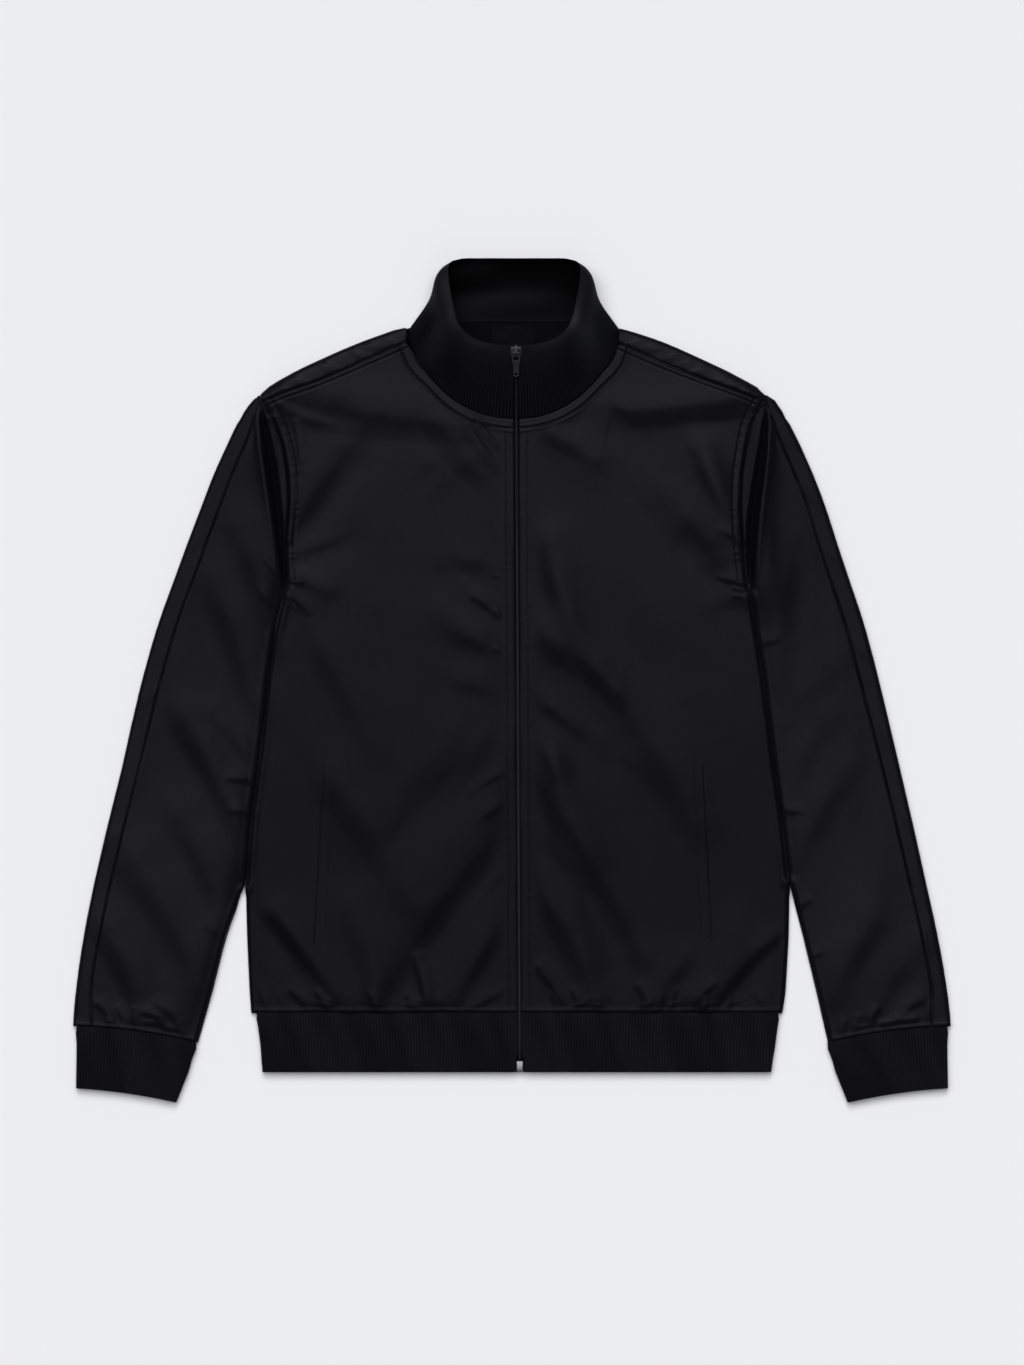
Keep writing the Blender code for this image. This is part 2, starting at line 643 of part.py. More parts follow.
def front_rows(side):
    """Rows of points of a front, from the hem seam up to the neck and shoulder seams."""
    sign = SIGN[side]
    neck, shoulder = front_top_edge(side)
    neck_shares, shoulder_shares = front_columns()
    shares = neck_shares + shoulder_shares
    past_neck = [(share - NECK_SHARE) / (1.0 - NECK_SHARE) for share in shoulder_shares]
    top = neck[:-1] + [point_at_share(shoulder, share) for share in past_neck]
    stations = side_stations(FRONT_PARTS)
    side_line = [Vector((sign * side_out(side, along), along)) for along in stations]
    run = [0.0]
    for start, end in zip(side_line, side_line[1:]):
        run.append(run[-1] + (end - start).length)
    foot = Vector((front_zip_edge(side, HEM_SEAM), HEM_SEAM))
    rows = []
    for along, outer, climbed in zip(stations, side_line, run):
        up = climbed / run[-1]
        zip_y = HEM_SEAM + (top[0].y - HEM_SEAM) * up
        inner = Vector((front_zip_edge(side, zip_y), zip_y))
        width = (outer - inner).length
        row = []
        for share, peak in zip(shares, top):
            bottom = foot.lerp(side_line[0], share)
            corners = bottom.lerp(top[0].lerp(top[-1], share), up)
            plan = bottom.lerp(peak, up) + inner.lerp(outer, share) - corners
            to_top = (1.0 - up) * run[-1]
            height = front_height(
                plan, (1.0 - share) * width, to_top, climbed, share * width, seam_height(along)
            )
            row.append(Vector((plan.x, plan.y, height)))
        rows.append(row)
    return rows


def add_front(side, material, collection):
    """One front, its outer side up."""
    rows = front_rows(side)
    if side == "right":
        rows = [list(reversed(row)) for row in rows]
    return add_sheet("front_" + side, grid_mesh(rows), material, collection)


def shoulder_columns(side):
    """Rolled edge of one shoulder: columns of points from under it, round it and on to its seam."""
    sign = SIGN[side]
    edge = [Vector((sign * spot.out, spot.along)) for spot in SHOULDER_EDGE[side]]
    seam = [Vector((sign * spot.out, spot.along)) for spot in SHOULDER_SEAM[side]]
    columns = []
    for step in range(SHOULDER_STEPS + 1):
        share = step / SHOULDER_STEPS
        rim = point_at_share(edge, share)
        ahead = point_at_share(edge, min(share + SHOULDER_LOOK, 1.0))
        behind = point_at_share(edge, max(share - SHOULDER_LOOK, 0.0))
        run = (ahead - behind).normalized()
        inward = Vector((run.y, -run.x)) * sign
        column = []
        for angle in ROLL_ANGLES:
            turn = math.radians(angle)
            place = rim + inward * (SHOULDER_ROLL - SHOULDER_ROLL * math.cos(turn))
            column.append(Vector((place.x, place.y, SHOULDER_ROLL + SHOULDER_ROLL * math.sin(turn))))
        target = point_at_share(seam, share)
        end = Vector((target.x, target.y + SEAM_GAP, SHOULDER_HEIGHT + STRIP_LIFT))
        swell = STRIP_SWELL + STRIP_WRINKLE * math.sin(share * STRIP_WRINKLES * math.tau)
        column.append(column[-1].lerp(end, 0.5) + Vector((0.0, 0.0, swell)))
        column.append(end)
        columns.append(column)
    return columns


def add_back(material, collection):
    """The back: flat where it rests, and rolled over both shoulders to the forward shoulder seams."""
    right = shoulder_columns("right")
    left = shoulder_columns("left")
    neck = [Vector((spot.out, spot.along)) for spot in BACK_NECK]
    top = [column[0].xy for column in reversed(right)] + neck + [column[0].xy for column in left]
    stations = side_stations(1)
    rights = [Vector((-side_out("right", along), along)) for along in stations] + [top[0]]
    lefts = [Vector((side_out("left", along), along)) for along in stations] + [top[-1]]
    width = top[-1].x - top[0].x
    shares = [(point.x - top[0].x) / width for point in top]
    rows = []
    for low_left, low_right in zip(rights, lefts):
        up = (low_left.y - HEM_SEAM) / (top[0].y - HEM_SEAM)
        row = []
        for share, peak in zip(shares, top):
            bottom = rights[0].lerp(lefts[0], share)
            corners = bottom.lerp(top[0].lerp(top[-1], share), up)
            plan = bottom.lerp(peak, up) + low_left.lerp(low_right, share) - corners
            row.append(Vector((plan.x, plan.y, 0.0)))
        rows.append(row)
    sheet = grid_mesh([list(reversed(row)) for row in rows])
    for columns, mirrored in ((right, True), (left, False)):
        ordered = columns if mirrored else list(reversed(columns))
        strip = grid_mesh([[column[level] for column in ordered] for level in range(len(columns[0]))])
        mesh = bpy.data.meshes.new("shoulder_strip")
        strip.to_mesh(mesh)
        strip.free()
        sheet.from_mesh(mesh)
        bpy.data.meshes.remove(mesh)
    bmesh.ops.remove_doubles(sheet, verts=sheet.verts[:], dist=WELD_DISTANCE * MM)
    return add_sheet("back", sheet, material, collection)


# Sleeves ------------------------------------------------------------------------------------------


def sleeve_sections(side):
    """Stations down a sleeve: its inner and outer points, seam inset, roll radius and the seam's bow."""
    sign = SIGN[side]
    sections = []
    rows = ARM_ROWS + FOREARM_ROWS
    for index, row in enumerate(rows):
        beside_body = index < len(ARM_ROWS)
        armhole = row.along >= UNDERARM
        gap = 0.0
        if beside_body:
            gap = ARMHOLE_GAP if armhole else SIDE_GAP
        if index == 0:
            gap = SHOULDER_POINT_GAP
        inner = Vector((sign * (getattr(row, "inner_" + side) + gap), row.along))
        edge = Vector((sign * getattr(row, "edge_" + side), row.along + row.tilt))
        radius = SHOULDER_POINT_ROLL if index == 0 else SHOULDER_ROLL
        if index == len(rows) - 1:
            radius = HEM_HEIGHT / 2.0
        bow = CUFF_SEAM_BOW if index == len(rows) - 1 else 0.0
        sections.append((inner, edge, row.inset, radius, bow))
    return sections


def across_section(inner, edge, bow, distance):
    """Plan point of a section at a distance in from its outer edge."""
    width = (edge - inner).length
    share = distance / width
    place = edge.lerp(inner, share)
    return Vector((place.x, place.y + bow * 4.0 * share * (1.0 - share)))


def sleeve_front_rows(side):
    """Upper part of a sleeve, from its inner edge to the inset front seam."""
    rows = []
    for inner, edge, inset, radius, bow in sleeve_sections(side):
        width = (edge - inner).length - inset - SEAM_GAP / 2.0
        width = max(width, NARROWEST_SLEEVE)
        row = []
        for share in SLEEVE_FRONT_SHARES:
            from_inner = share * width
            plan = across_section(inner, edge, bow, (edge - inner).length - from_inner)
            to_seam = width - from_inner
            ridge = SLEEVE_RIDGE * changed(SLEEVE_RIDGE_START, plan.y) * changed(SLEEVE_RIDGE_END, plan.y)
            ridge *= math.exp(-(((from_inner - SLEEVE_RIDGE_IN) / SLEEVE_RIDGE_WIDTH) ** 2))
            calm = eased(to_seam / CALM_IN_SLEEVE) * eased(from_inner / CALM_IN_SLEEVE)
            calm *= changed(SLEEVE_CALM_AT_CUFF, plan.y)
            height = 2.0 * radius + ridge * eased(to_seam / CALM_AT_SIDE)
            height += calm * fold_rise(SLEEVE_FOLDS, plan.x, plan.y)
            roll = min(ROLL_RADIUS, width * SLEEVE_ROLL_SHARE)
            row.append(Vector((plan.x, plan.y, rolled(seam_height(inner.y), height, from_inner, roll))))
        rows.append(row)
    return rows


def sleeve_back_rows(side):
    """Under part of a sleeve: from the front seam, round the outer edge and under to the inner edge."""
    rows = []
    for inner, edge, inset, radius, bow in sleeve_sections(side):
        width = (edge - inner).length
        row = []
        for share in SLEEVE_OVER_SHARES:
            distance = radius + (inset - SEAM_GAP / 2.0 - radius) * share
            distance = max(distance, radius + SEAM_PAST_ROLL * share)
            plan = across_section(inner, edge, bow, distance)
            row.append(Vector((plan.x, plan.y, 2.0 * radius)))
        for angle in reversed(ROLL_ANGLES):
            turn = math.radians(angle)
            plan = across_section(inner, edge, bow, radius - radius * math.cos(turn))
            row.append(Vector((plan.x, plan.y, radius + radius * math.sin(turn))))
        for share in SLEEVE_UNDER_SHARES:
            plan = across_section(inner, edge, bow, radius + (width - radius) * share)
            row.append(Vector((plan.x, plan.y, 0.0)))
        rows.append(row)
    return rows


def add_sleeve(side, material, collection):
    """Both parts of one sleeve."""
    front = sleeve_front_rows(side)
    back = sleeve_back_rows(side)
    if side == "left":
        front = [list(reversed(row)) for row in front]
        back = [list(reversed(row)) for row in back]
    add_sheet("sleeve_front_" + side, grid_mesh(front), material, collection)
    add_sheet("sleeve_back_" + side, grid_mesh(back), material, collection)


# Rib-knit bands -----------------------------------------------------------------------------------


def collar_point(share, side, position):
    """Point of the smooth collar: share is how far up it lies, position counts spots round from the zip."""
    rings = COLLAR_RINGS
    if share == 0.0:
        spot = neck_ring_spot(position)
    else:
        spots = [smooth_between(ring.spots, position) for ring in rings]
        shares = [ring.share for ring in rings]
        index = max(number for number in range(len(shares) - 1) if share > shares[number])
        part = (share - shares[index]) / (shares[index + 1] - shares[index])
        spot = smooth_between(spots, index + part)
    return Vector((collar_centre(position) + SIGN[side] * spot.x, spot.y, spot.z))


def collar_rings():
    """Smooth rings of the collar, each from the zip's right side round the back to its left side."""
    half = COLLAR_RIBS_PER_HALF * 2
    last = len(COLLAR_RINGS[0].spots) - 1.0
    rings = []
    for share in COLLAR_ROWS:
        spot_pitch = smooth_between([ring.spots[1] for ring in COLLAR_RINGS], share_index(share)).x
        start = straight_between(ZIP_GAPS, "half", ZIP_TOP) / spot_pitch
        places = [start + (last - start) * step / half for step in range(half + 1)]
        right = [collar_point(share, "right", place) for place in places]
        left = [collar_point(share, "left", place) for place in places[:-1]]
        rings.append(right + list(reversed(left)))
    return rings


def share_index(share):
    """Where a share of the collar's height falls among its rings, counted in rings."""
    shares = [ring.share for ring in COLLAR_RINGS]
    for index in range(len(shares) - 1):
        if share <= shares[index + 1]:
            return index + (share - shares[index]) / (shares[index + 1] - shares[index])
    return len(shares) - 1.0


def add_collar(material, collection):
    """Stand collar: ribs raised on its outer side, plain inside, open at the zip."""
    rings = collar_rings()
    normals = ring_normals(rings, False)
    facing = -1.0 if normals[2][0].z < 0.0 else 1.0
    inner_columns = list(range(0, len(rings[0]), COLLAR_INNER_STEP))
    outer = []
    inner = []
    for row, (ring, lines) in enumerate(zip(rings, normals)):
        relief = 0.0 if row == 0 else RIB_RELIEF
        outer.append([
            point + line * (facing * relief * (column % 2))
            for column, (point, line) in enumerate(zip(ring, lines))
        ])
        inner.append([ring[column] - lines[column] * (facing * RIB_WALL) for column in inner_columns])
    return add_ribbed_wall("collar", outer, inner, inner_columns, False, material, collection)


def flat_tube_section(ribs, width):
    """Half a flattened tube seen end on, from the middle of its ribbed top to its rim and underneath."""
    radius = HEM_HEIGHT / 2.0
    columns = 2 * ribs
    spots = []
    for step in range(columns):
        share = 1.0 - (1.0 - radius / width) * step / columns
        spots.append(BandSpot(share, HEM_HEIGHT, RIB_RELIEF * (step % 2), step % BAND_INNER_STEP == 0))
    for angle in RIM_ANGLES:
        turn = math.radians(angle)
        share = (radius - radius * math.cos(turn)) / width
        spots.append(BandSpot(share, radius + radius * math.sin(turn), 0.0, True))
    return spots


def add_band(name, rings, spots, closed, material, collection):
    """Band of rib knit from its smooth outer rings, with ribs raised where the spots say so."""
    normals = ring_normals(rings, closed)
    facing = 1.0 if normals[1][1].z > 0.0 else -1.0
    columns = [column for column, spot in enumerate(spots) if spot.inner]
    outer = [[point + Vector((0.0, 0.0, spot.lift)) for point, spot in zip(ring, spots)] for ring in rings]
    inner = [
        [ring[column] - lines[column] * (facing * RIB_WALL) for column in columns]
        for ring, lines in zip(rings, normals)
    ]
    return add_ribbed_wall(name, outer, inner, columns, closed, material, collection)


def add_hem_band(material, collection):
    """Hem band: front parts, both rolled sides and the back in one strip, open at the zip."""
    rings = []
    for along in HEM_LEVELS:
        halves = {}
        sections = {}
        for side, sign in SIGN.items():
            reach = straight_between(HEM_ROWS, side, along)
            squeeze = straight_between(ZIP_GAPS, "half", along) - straight_between(ZIP_GAPS, "half", HEM_SEAM)
            width = reach - sign * front_zip_edge(side, along) + squeeze
            sections[side] = flat_tube_section(HEM_RIBS_PER_FRONT, width)
            halves[side] = []
            for spot in sections[side]:
                from_zip = (1.0 - spot.share) * width
                out = reach - spot.share * width + squeeze * max(0.0, 1.0 - from_zip / HEM_SQUEEZE)
                halves[side].append(Vector((sign * out, along, spot.up)))
        shares = [step / HEM_COLUMNS_BACK for step in range(1, HEM_COLUMNS_BACK)]
        under = [halves["right"][-1].lerp(halves["left"][-1], share) for share in shares]
        rings.append(halves["right"] + under + list(reversed(halves["left"])))
    plain = [BandSpot(share, 0.0, 0.0, True) for share in shares]
    spots = sections["right"] + plain + list(reversed(sections["left"]))
    return add_band("hem_band", rings, spots, False, material, collection)


def add_cuff(side, material, collection):
    """Cuff: a flattened tube that narrows to the hand and leans in at its inner edge."""
    sign = SIGN[side]
    rings = []
    for ends in (CUFF_SEAM, CUFF_MIDDLE, CUFF_EDGE):
        edge = Vector((sign * ends.edge_out, ends.edge_along))
        inner = Vector((sign * ends.inner_out, ends.inner_along))
        half = flat_tube_section(CUFF_RIBS_PER_HALF, (edge - inner).length / 2.0)
        outward = [spot._replace(share=spot.share / 2.0) for spot in half]
        inward = [spot._replace(share=1.0 - spot.share) for spot in reversed(outward[1:])]
        spots = outward + [BandSpot(0.5, 0.0, 0.0, True)] + inward
        ring = []
        for spot in spots:
            place = edge.lerp(inner, spot.share)
            bow = ends.bow * 4.0 * spot.share * (1.0 - spot.share)
            ring.append(Vector((place.x, place.y + bow, spot.up)))
        rings.append(ring)
    return add_band("cuff_" + side, rings, spots, True, material, collection)


# Zip, pockets and label ---------------------------------------------------------------------------


def collar_front_height(along):
    """Height of the collar's outer side at the zip."""
    last = len(COLLAR_RINGS) - 1
    spots = [ring.spots[0] for ring in COLLAR_RINGS]
    low, high = 0.0, float(last)
    for _ in range(30):
        middle = (low + high) / 2.0
        if smooth_between(spots, middle).y < along:
            low = middle
        else:
            high = middle
    return smooth_between(spots, low).z


def zip_height(along):
    """Height of the cloth's outer side beside the zip, from the hem's edge to the top of the collar."""
    neck = COLLAR_RINGS[0].spots[0].along
    if along > neck:
        return collar_front_height(along)
    if along < HEM_SEAM:
        return HEM_HEIGHT
    return base_height(along) + NECK_LIFT * eased(1.0 - (neck - along) / CALM_AT_SIDE)


def add_zip_tape(side, material, collection):
    """One zip tape with the coil along its edge, from the retainer box to the slider."""
    sign = SIGN[side]
    rings = []
    for along in ZIP_PLACES:
        middle = zip_across(along)
        deeper = (ZIP_TAPE_DEPTH_COLLAR - ZIP_TAPE_DEPTH) * changed(ZIP_TAPE_DROP, along)
        top = zip_height(along) - ZIP_TAPE_DEPTH - deeper
        bead = zip_height(along) - ZIP_COIL_DEPTH
        profile = (
            (ZIP_COIL_APART, top - ZIP_TAPE_WALL),
            (ZIP_COIL_APART, bead),
            (ZIP_COIL_WIDTH, bead),
            (ZIP_COIL_WIDTH, top),
            (ZIP_TAPE_WIDTH, top),
            (ZIP_TAPE_WIDTH, top - ZIP_TAPE_WALL),
        )
        rings.append([Vector((middle + sign * out, along, up)) for out, up in profile])
    tape = bmesh.new()
    made = [[tape.verts.new(point * MM) for point in ring] for ring in rings]
    count = len(rings[0])
    for low, high in zip(made, made[1:]):
        for index in range(count):
            after = (index + 1) % count
            tape.faces.new((low[index], low[after], high[after], high[index]))
    tape.faces.new(made[0])
    tape.faces.new(made[-1])
    bmesh.ops.triangulate(tape, faces=tape.faces[:])
    bmesh.ops.recalc_face_normals(tape, faces=tape.faces[:])
    return new_object("zip_tape_" + side, tape, material, collection)


def add_welt(side, front, material, collection):
    """Pocket welt: a strip beside the slit, made from the front's own points, moved out."""
    sign = SIGN[side]
    surface = BVHTree.FromPolygons(
        [vertex.co for vertex in front.data.vertices], [face.vertices for face in front.data.polygons]
    )
    top, foot = POCKET_SLIT[side]
    start = Vector((sign * top.out, top.along))
    end = Vector((sign * foot.out, foot.along))
    rows = []
    for across in (0.0, 0.5, 1.0):
        row = []
        for step in range(WELT_SEGMENTS + 1):
            place = start.lerp(end, step / WELT_SEGMENTS)
            place.x -= sign * across * WELT_WIDTH
            above = Vector((place.x, place.y, WELT_DROP)) * MM
            hit = surface.ray_cast(above, Vector((0.0, 0.0, -1.0)))
            row.append(Vector((place.x, place.y, hit[0].z / MM + WELT_LIFT + WELT_WALL)))
        rows.append(row)
    if side == "left":
        rows = [list(reversed(row)) for row in rows]
    return add_sheet("pocket_welt_" + side, grid_mesh(rows), material, collection, WELT_WALL)


def add_box(name, size, middle, material, collection, bevel=0.0):
    """Rectangular solid by its size and middle, with softened edges where a bevel is given."""
    block = bmesh.new()
    bmesh.ops.create_cube(block, size=1.0)
    bmesh.ops.scale(block, vec=Vector(size) * MM, verts=block.verts[:])
    if bevel:
        bmesh.ops.bevel(
            block, geom=block.edges[:], offset=bevel * MM, segments=1, affect="EDGES", profile=0.5
        )
    bmesh.ops.translate(block, vec=Vector(middle) * MM, verts=block.verts[:])
    return new_object(name, block, material, collection)


def slider_frame():
    """Place and tilt of the slider at the top of the collar's front."""
    behind, ahead = SLIDER_REACH
    low = collar_front_height(SLIDER_PLACE + behind)
    high = collar_front_height(SLIDER_PLACE + ahead)
    tilt = math.atan2(high - low, ahead - behind)
    place = Vector((zip_across(SLIDER_PLACE), SLIDER_PLACE, collar_front_height(SLIDER_PLACE))) * MM
    return Matrix.Translation(place) @ Matrix.Rotation(tilt, 4, "X")


def add_slider(material, collection):
    """Slider: two plates joined by a divider at the upper end, and a bridge for the pull tab."""
    plate = (SLIDER_WIDTH, SLIDER_LENGTH, SLIDER_PLATE)
    divider = (*DIVIDER_SIZE, SLIDER_TOP - SLIDER_FOOT + SLIDER_PLATE)
    pivot = Vector(PIVOT)
    roof = pivot.z + BRIDGE_ROOF
    post = (BRIDGE_WIDTH, BRIDGE_BAR, roof + BRIDGE_BAR - SLIDER_TOP)
    post_middle = SLIDER_TOP + post[2] / 2.0
    reach = BRIDGE_SPAN / 2.0 + BRIDGE_BAR / 2.0
    bar = (BRIDGE_WIDTH, 2.0 * reach + BRIDGE_BAR, BRIDGE_BAR)
    parts = (
        (plate, (0.0, 0.0, SLIDER_TOP + SLIDER_PLATE / 2.0), SLIDER_BEVEL),
        (plate, (0.0, 0.0, SLIDER_FOOT - SLIDER_PLATE / 2.0), SLIDER_BEVEL),
        (divider, (0.0, DIVIDER_ALONG, (SLIDER_TOP + SLIDER_FOOT) / 2.0), 0.0),
        (post, (0.0, pivot.y - reach, post_middle), 0.0),
        (post, (0.0, pivot.y + reach, post_middle), 0.0),
        (bar, (0.0, pivot.y, roof + BRIDGE_BAR / 2.0), 0.0),
    )
    pieces = [
        add_box("slider_piece", size, middle, material, collection, bevel) for size, middle, bevel in parts
    ]
    body = pieces[0]
    body.name = "zip_slider"
    for piece in pieces[1:]:
        join = body.modifiers.new("Join", "BOOLEAN")
        join.operation = "UNION"
        join.object = piece
    bpy.context.view_layer.update()
    evaluated = body.evaluated_get(bpy.context.evaluated_depsgraph_get())
    mesh = bpy.data.meshes.new_from_object(evaluated)
    body.modifiers.clear()
    body.data = mesh
    for piece in pieces[1:]:
        bpy.data.objects.remove(piece)
    body.data.transform(slider_frame())
    return body


def tab_outline():
    """Pull tab's outline from above: a square ring at the pivot, a waist, and a round end."""
    half = TAB_WIDTH / 2.0
    waist = TAB_WAIST / 2.0
    window_end = TAB_TOP - TAB_WALL - TAB_WINDOW[1]
    foot = TAB_TOP - TAB_LENGTH + waist
    points = [
        (half - TAB_CORNER, TAB_TOP),
        (half, TAB_TOP - TAB_CORNER),
        (half, window_end - TAB_SHOULDER[0]),
        (waist, window_end - TAB_SHOULDER[1]),
    ]
    end = []
    for step in range(TAB_END_STEPS + 1):
        turn = math.pi * step / TAB_END_STEPS
        end.append((waist * math.cos(turn), foot - waist * math.sin(turn)))
    return points + end + [(-x, y) for x, y in reversed(points)], foot


def add_pull_tab(material, collection):
    """Pull tab: a flat plate with a window round the slider's bridge and a small hole at its end."""
    outline, foot = tab_outline()
    half = TAB_WINDOW[0] / 2.0
    upper = TAB_TOP - TAB_WALL
    lower = upper - TAB_WINDOW[1]
    window = [(half, upper), (-half, upper), (-half, lower), (half, lower)]
    turns = [math.tau * step / TAB_HOLE_STEPS for step in range(TAB_HOLE_STEPS)]
    hole = [(TAB_HOLE * math.cos(turn), foot + TAB_HOLE * math.sin(turn)) for turn in turns]
    curve = bpy.data.curves.new("pull_tab_outline", "CURVE")
    curve.dimensions = "2D"
    curve.fill_mode = "BOTH"
    curve.extrude = TAB_WALL / 2.0 * MM
    for points in (outline, window, hole):
        spline = curve.splines.new("POLY")
        spline.points.add(len(points) - 1)
        for point, (x, y) in zip(spline.points, points):
            point.co = (x * MM, y * MM, 0.0, 1.0)
        spline.use_cyclic_u = True
    flat = bpy.data.objects.new("pull_tab_outline", curve)
    collection.objects.link(flat)
    bpy.context.view_layer.update()
    mesh = bpy.data.meshes.new_from_object(flat.evaluated_get(bpy.context.evaluated_depsgraph_get()))
    bpy.data.objects.remove(flat)
    plate = bmesh.new()
    plate.from_mesh(mesh)
    bpy.data.meshes.remove(mesh)
    bmesh.ops.remove_doubles(plate, verts=plate.verts[:], dist=WELD_DISTANCE * MM)
    bmesh.ops.recalc_face_normals(plate, faces=plate.faces[:])
    pivot = Vector(PIVOT)
    bar_middle = Vector((0.0, TAB_TOP - TAB_WALL / 2.0, 0.0))
    bmesh.ops.translate(plate, vec=-bar_middle * MM, verts=plate.verts[:])
    droop = math.atan2(pivot.z - TAB_WALL / 2.0 - RIB_RELIEF - LAYER_GAP, TAB_LENGTH - TAB_WALL)
    made = new_object("zip_pull_tab", plate, material, collection)
    tilt = Matrix.Rotation(droop, 4, "X")
    made.matrix_world = slider_frame() @ Matrix.Translation(pivot * MM) @ tilt
    return made


def add_label(material, collection):
    """Blank woven label on the inside of the back, under the collar's seam."""
    width, height, wall = LABEL_SIZE
    middle = (LABEL_MIDDLE[0], LABEL_MIDDLE[1], SATIN_WALL + LAYER_GAP + wall / 2.0)
    return add_box("neck_label", (width, height, wall), middle, material, collection)


def add_retainer_box(material, collection):
    """Retainer box that ends the zip at the hem's edge."""
    along = HEM_EDGE + BOX_SIZE[1] / 2.0 + BOX_FROM_EDGE
    middle = (zip_across(along), along, HEM_HEIGHT - BOX_SIZE[2] / 2.0 + BOX_PROUD)
    return add_box("zip_retainer_box", BOX_SIZE, middle, material, collection, BOX_BEVEL)


# Whole jacket -------------------------------------------------------------------------------------


def clear_scene():
    """Removes the objects that a new scene holds."""
    for item in list(bpy.data.objects):
        bpy.data.objects.remove(item, do_unlink=True)


def build():
    """Makes every piece of the jacket in its own collection."""
    clear_scene()
    jacket = bpy.data.collections.new("track_jacket")
    bpy.context.scene.collection.children.link(jacket)
    satin = plain_material("black_satin", SATIN_COLOR, SATIN_ROUGHNESS)
    rib = plain_material("black_rib_knit", RIB_COLOR, RIB_ROUGHNESS)
    tape = plain_material("zip_tape", TAPE_COLOR, TAPE_ROUGHNESS)
    metal = plain_material("nickel", NICKEL_COLOR, NICKEL_ROUGHNESS, 1.0)
    woven = plain_material("label_weave", LABEL_COLOR, LABEL_ROUGHNESS)
    add_back(satin, jacket)
    for side in ("right", "left"):
        front = add_front(side, satin, jacket)
        add_welt(side, front, satin, jacket)
        add_sleeve(side, satin, jacket)
        add_cuff(side, rib, jacket)
        add_zip_tape(side, tape, jacket)
    add_collar(rib, jacket)
    add_hem_band(rib, jacket)
    add_label(woven, jacket)
    add_retainer_box(metal, jacket)
    add_slider(metal, jacket)
    add_pull_tab(metal, jacket)


build()
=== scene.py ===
"""Dresses the track jacket: satin shell, rib-knit collar and bands, zip, label and stitching.

All tables are in millimetres, seen from above: x runs to the wearer's left and y up to the collar.
"""

import logging
import math
from dataclasses import dataclass
from enum import Enum

import bmesh
import bpy
import numpy as np
from mathutils import Matrix, Vector
from mathutils.bvhtree import BVHTree


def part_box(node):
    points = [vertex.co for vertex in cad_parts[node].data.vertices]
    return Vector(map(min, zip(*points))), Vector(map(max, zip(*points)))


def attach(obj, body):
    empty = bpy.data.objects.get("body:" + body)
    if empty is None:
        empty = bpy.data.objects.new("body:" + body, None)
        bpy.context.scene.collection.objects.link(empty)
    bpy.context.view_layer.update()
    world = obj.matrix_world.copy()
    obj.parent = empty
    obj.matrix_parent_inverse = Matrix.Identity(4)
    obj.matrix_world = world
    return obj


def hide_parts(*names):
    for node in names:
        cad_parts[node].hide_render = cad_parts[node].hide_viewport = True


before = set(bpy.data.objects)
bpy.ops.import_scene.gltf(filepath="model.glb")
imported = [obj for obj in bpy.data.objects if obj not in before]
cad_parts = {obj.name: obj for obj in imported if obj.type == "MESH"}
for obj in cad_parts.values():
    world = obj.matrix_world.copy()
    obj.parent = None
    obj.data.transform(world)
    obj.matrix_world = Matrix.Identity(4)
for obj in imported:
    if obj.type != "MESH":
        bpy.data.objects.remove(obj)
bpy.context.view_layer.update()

LOG = logging.getLogger("track_jacket")
MM = 0.001

BROAD_FOLD = 6.0  # from this width, folds fade out further from the zip and ridges have a broad lower flank
LAYER_MIDDLE = 3.8  # height that parts the upper layer of cloth from the lower one
TUCK_PAINTED_SHADE = 0.86  # share of a tuck's half width whose floor takes the dull reverse as painted shade


class Side(Enum):
    """The wearer's two sides, with the way that each one lies across the jacket."""

    RIGHT = ("right", -1.0)
    LEFT = ("left", 1.0)

    @property
    def word(self) -> str:
        """The side's word in node names."""
        return self.value[0]

    @property
    def sign(self) -> float:
        """Minus one or one: which way out from the zip the side lies."""
        return self.value[1]


# Sewing lines and creases -------------------------------------------------------------------------


def smooth_line(places: tuple, step: float = 4.0) -> np.ndarray:
    """Runs a smooth line through places.

    Args:
        places: The places that the line passes through.
        step: Distance between the points of the finished line.

    Returns:
        One row of coordinates for each point.
    """
    knots = np.array(places, float)
    before = np.vstack([2 * knots[0] - knots[1], knots[:-1]])
    after = np.vstack([knots[1:], 2 * knots[-1] - knots[-2]])
    lean = (after - before) * 0.5
    points = []
    for index in range(len(knots) - 1):
        span = float(np.linalg.norm(knots[index + 1] - knots[index]))
        count = max(1, round(span / step))
        for part in np.arange(count) / count:
            square, cube = part * part, part**3
            points.append(
                knots[index] * (2 * cube - 3 * square + 1)
                + lean[index] * (cube - 2 * square + part)
                + knots[index + 1] * (3 * square - 2 * cube)
                + lean[index + 1] * (cube - square)
            )
    points.append(knots[-1])
    return np.array(points)


def beside(line: np.ndarray, offset: float) -> np.ndarray:
    """Moves a plan line sideways.

    Args:
        line: Points of the line.
        offset: How far it moves, to the left of its run.

    Returns:
        The moved points.
    """
    run = np.gradient(line, axis=0)
    run /= np.linalg.norm(run, axis=1)[:, None]
    return line + np.stack([-run[:, 1], run[:, 0]], axis=1) * offset


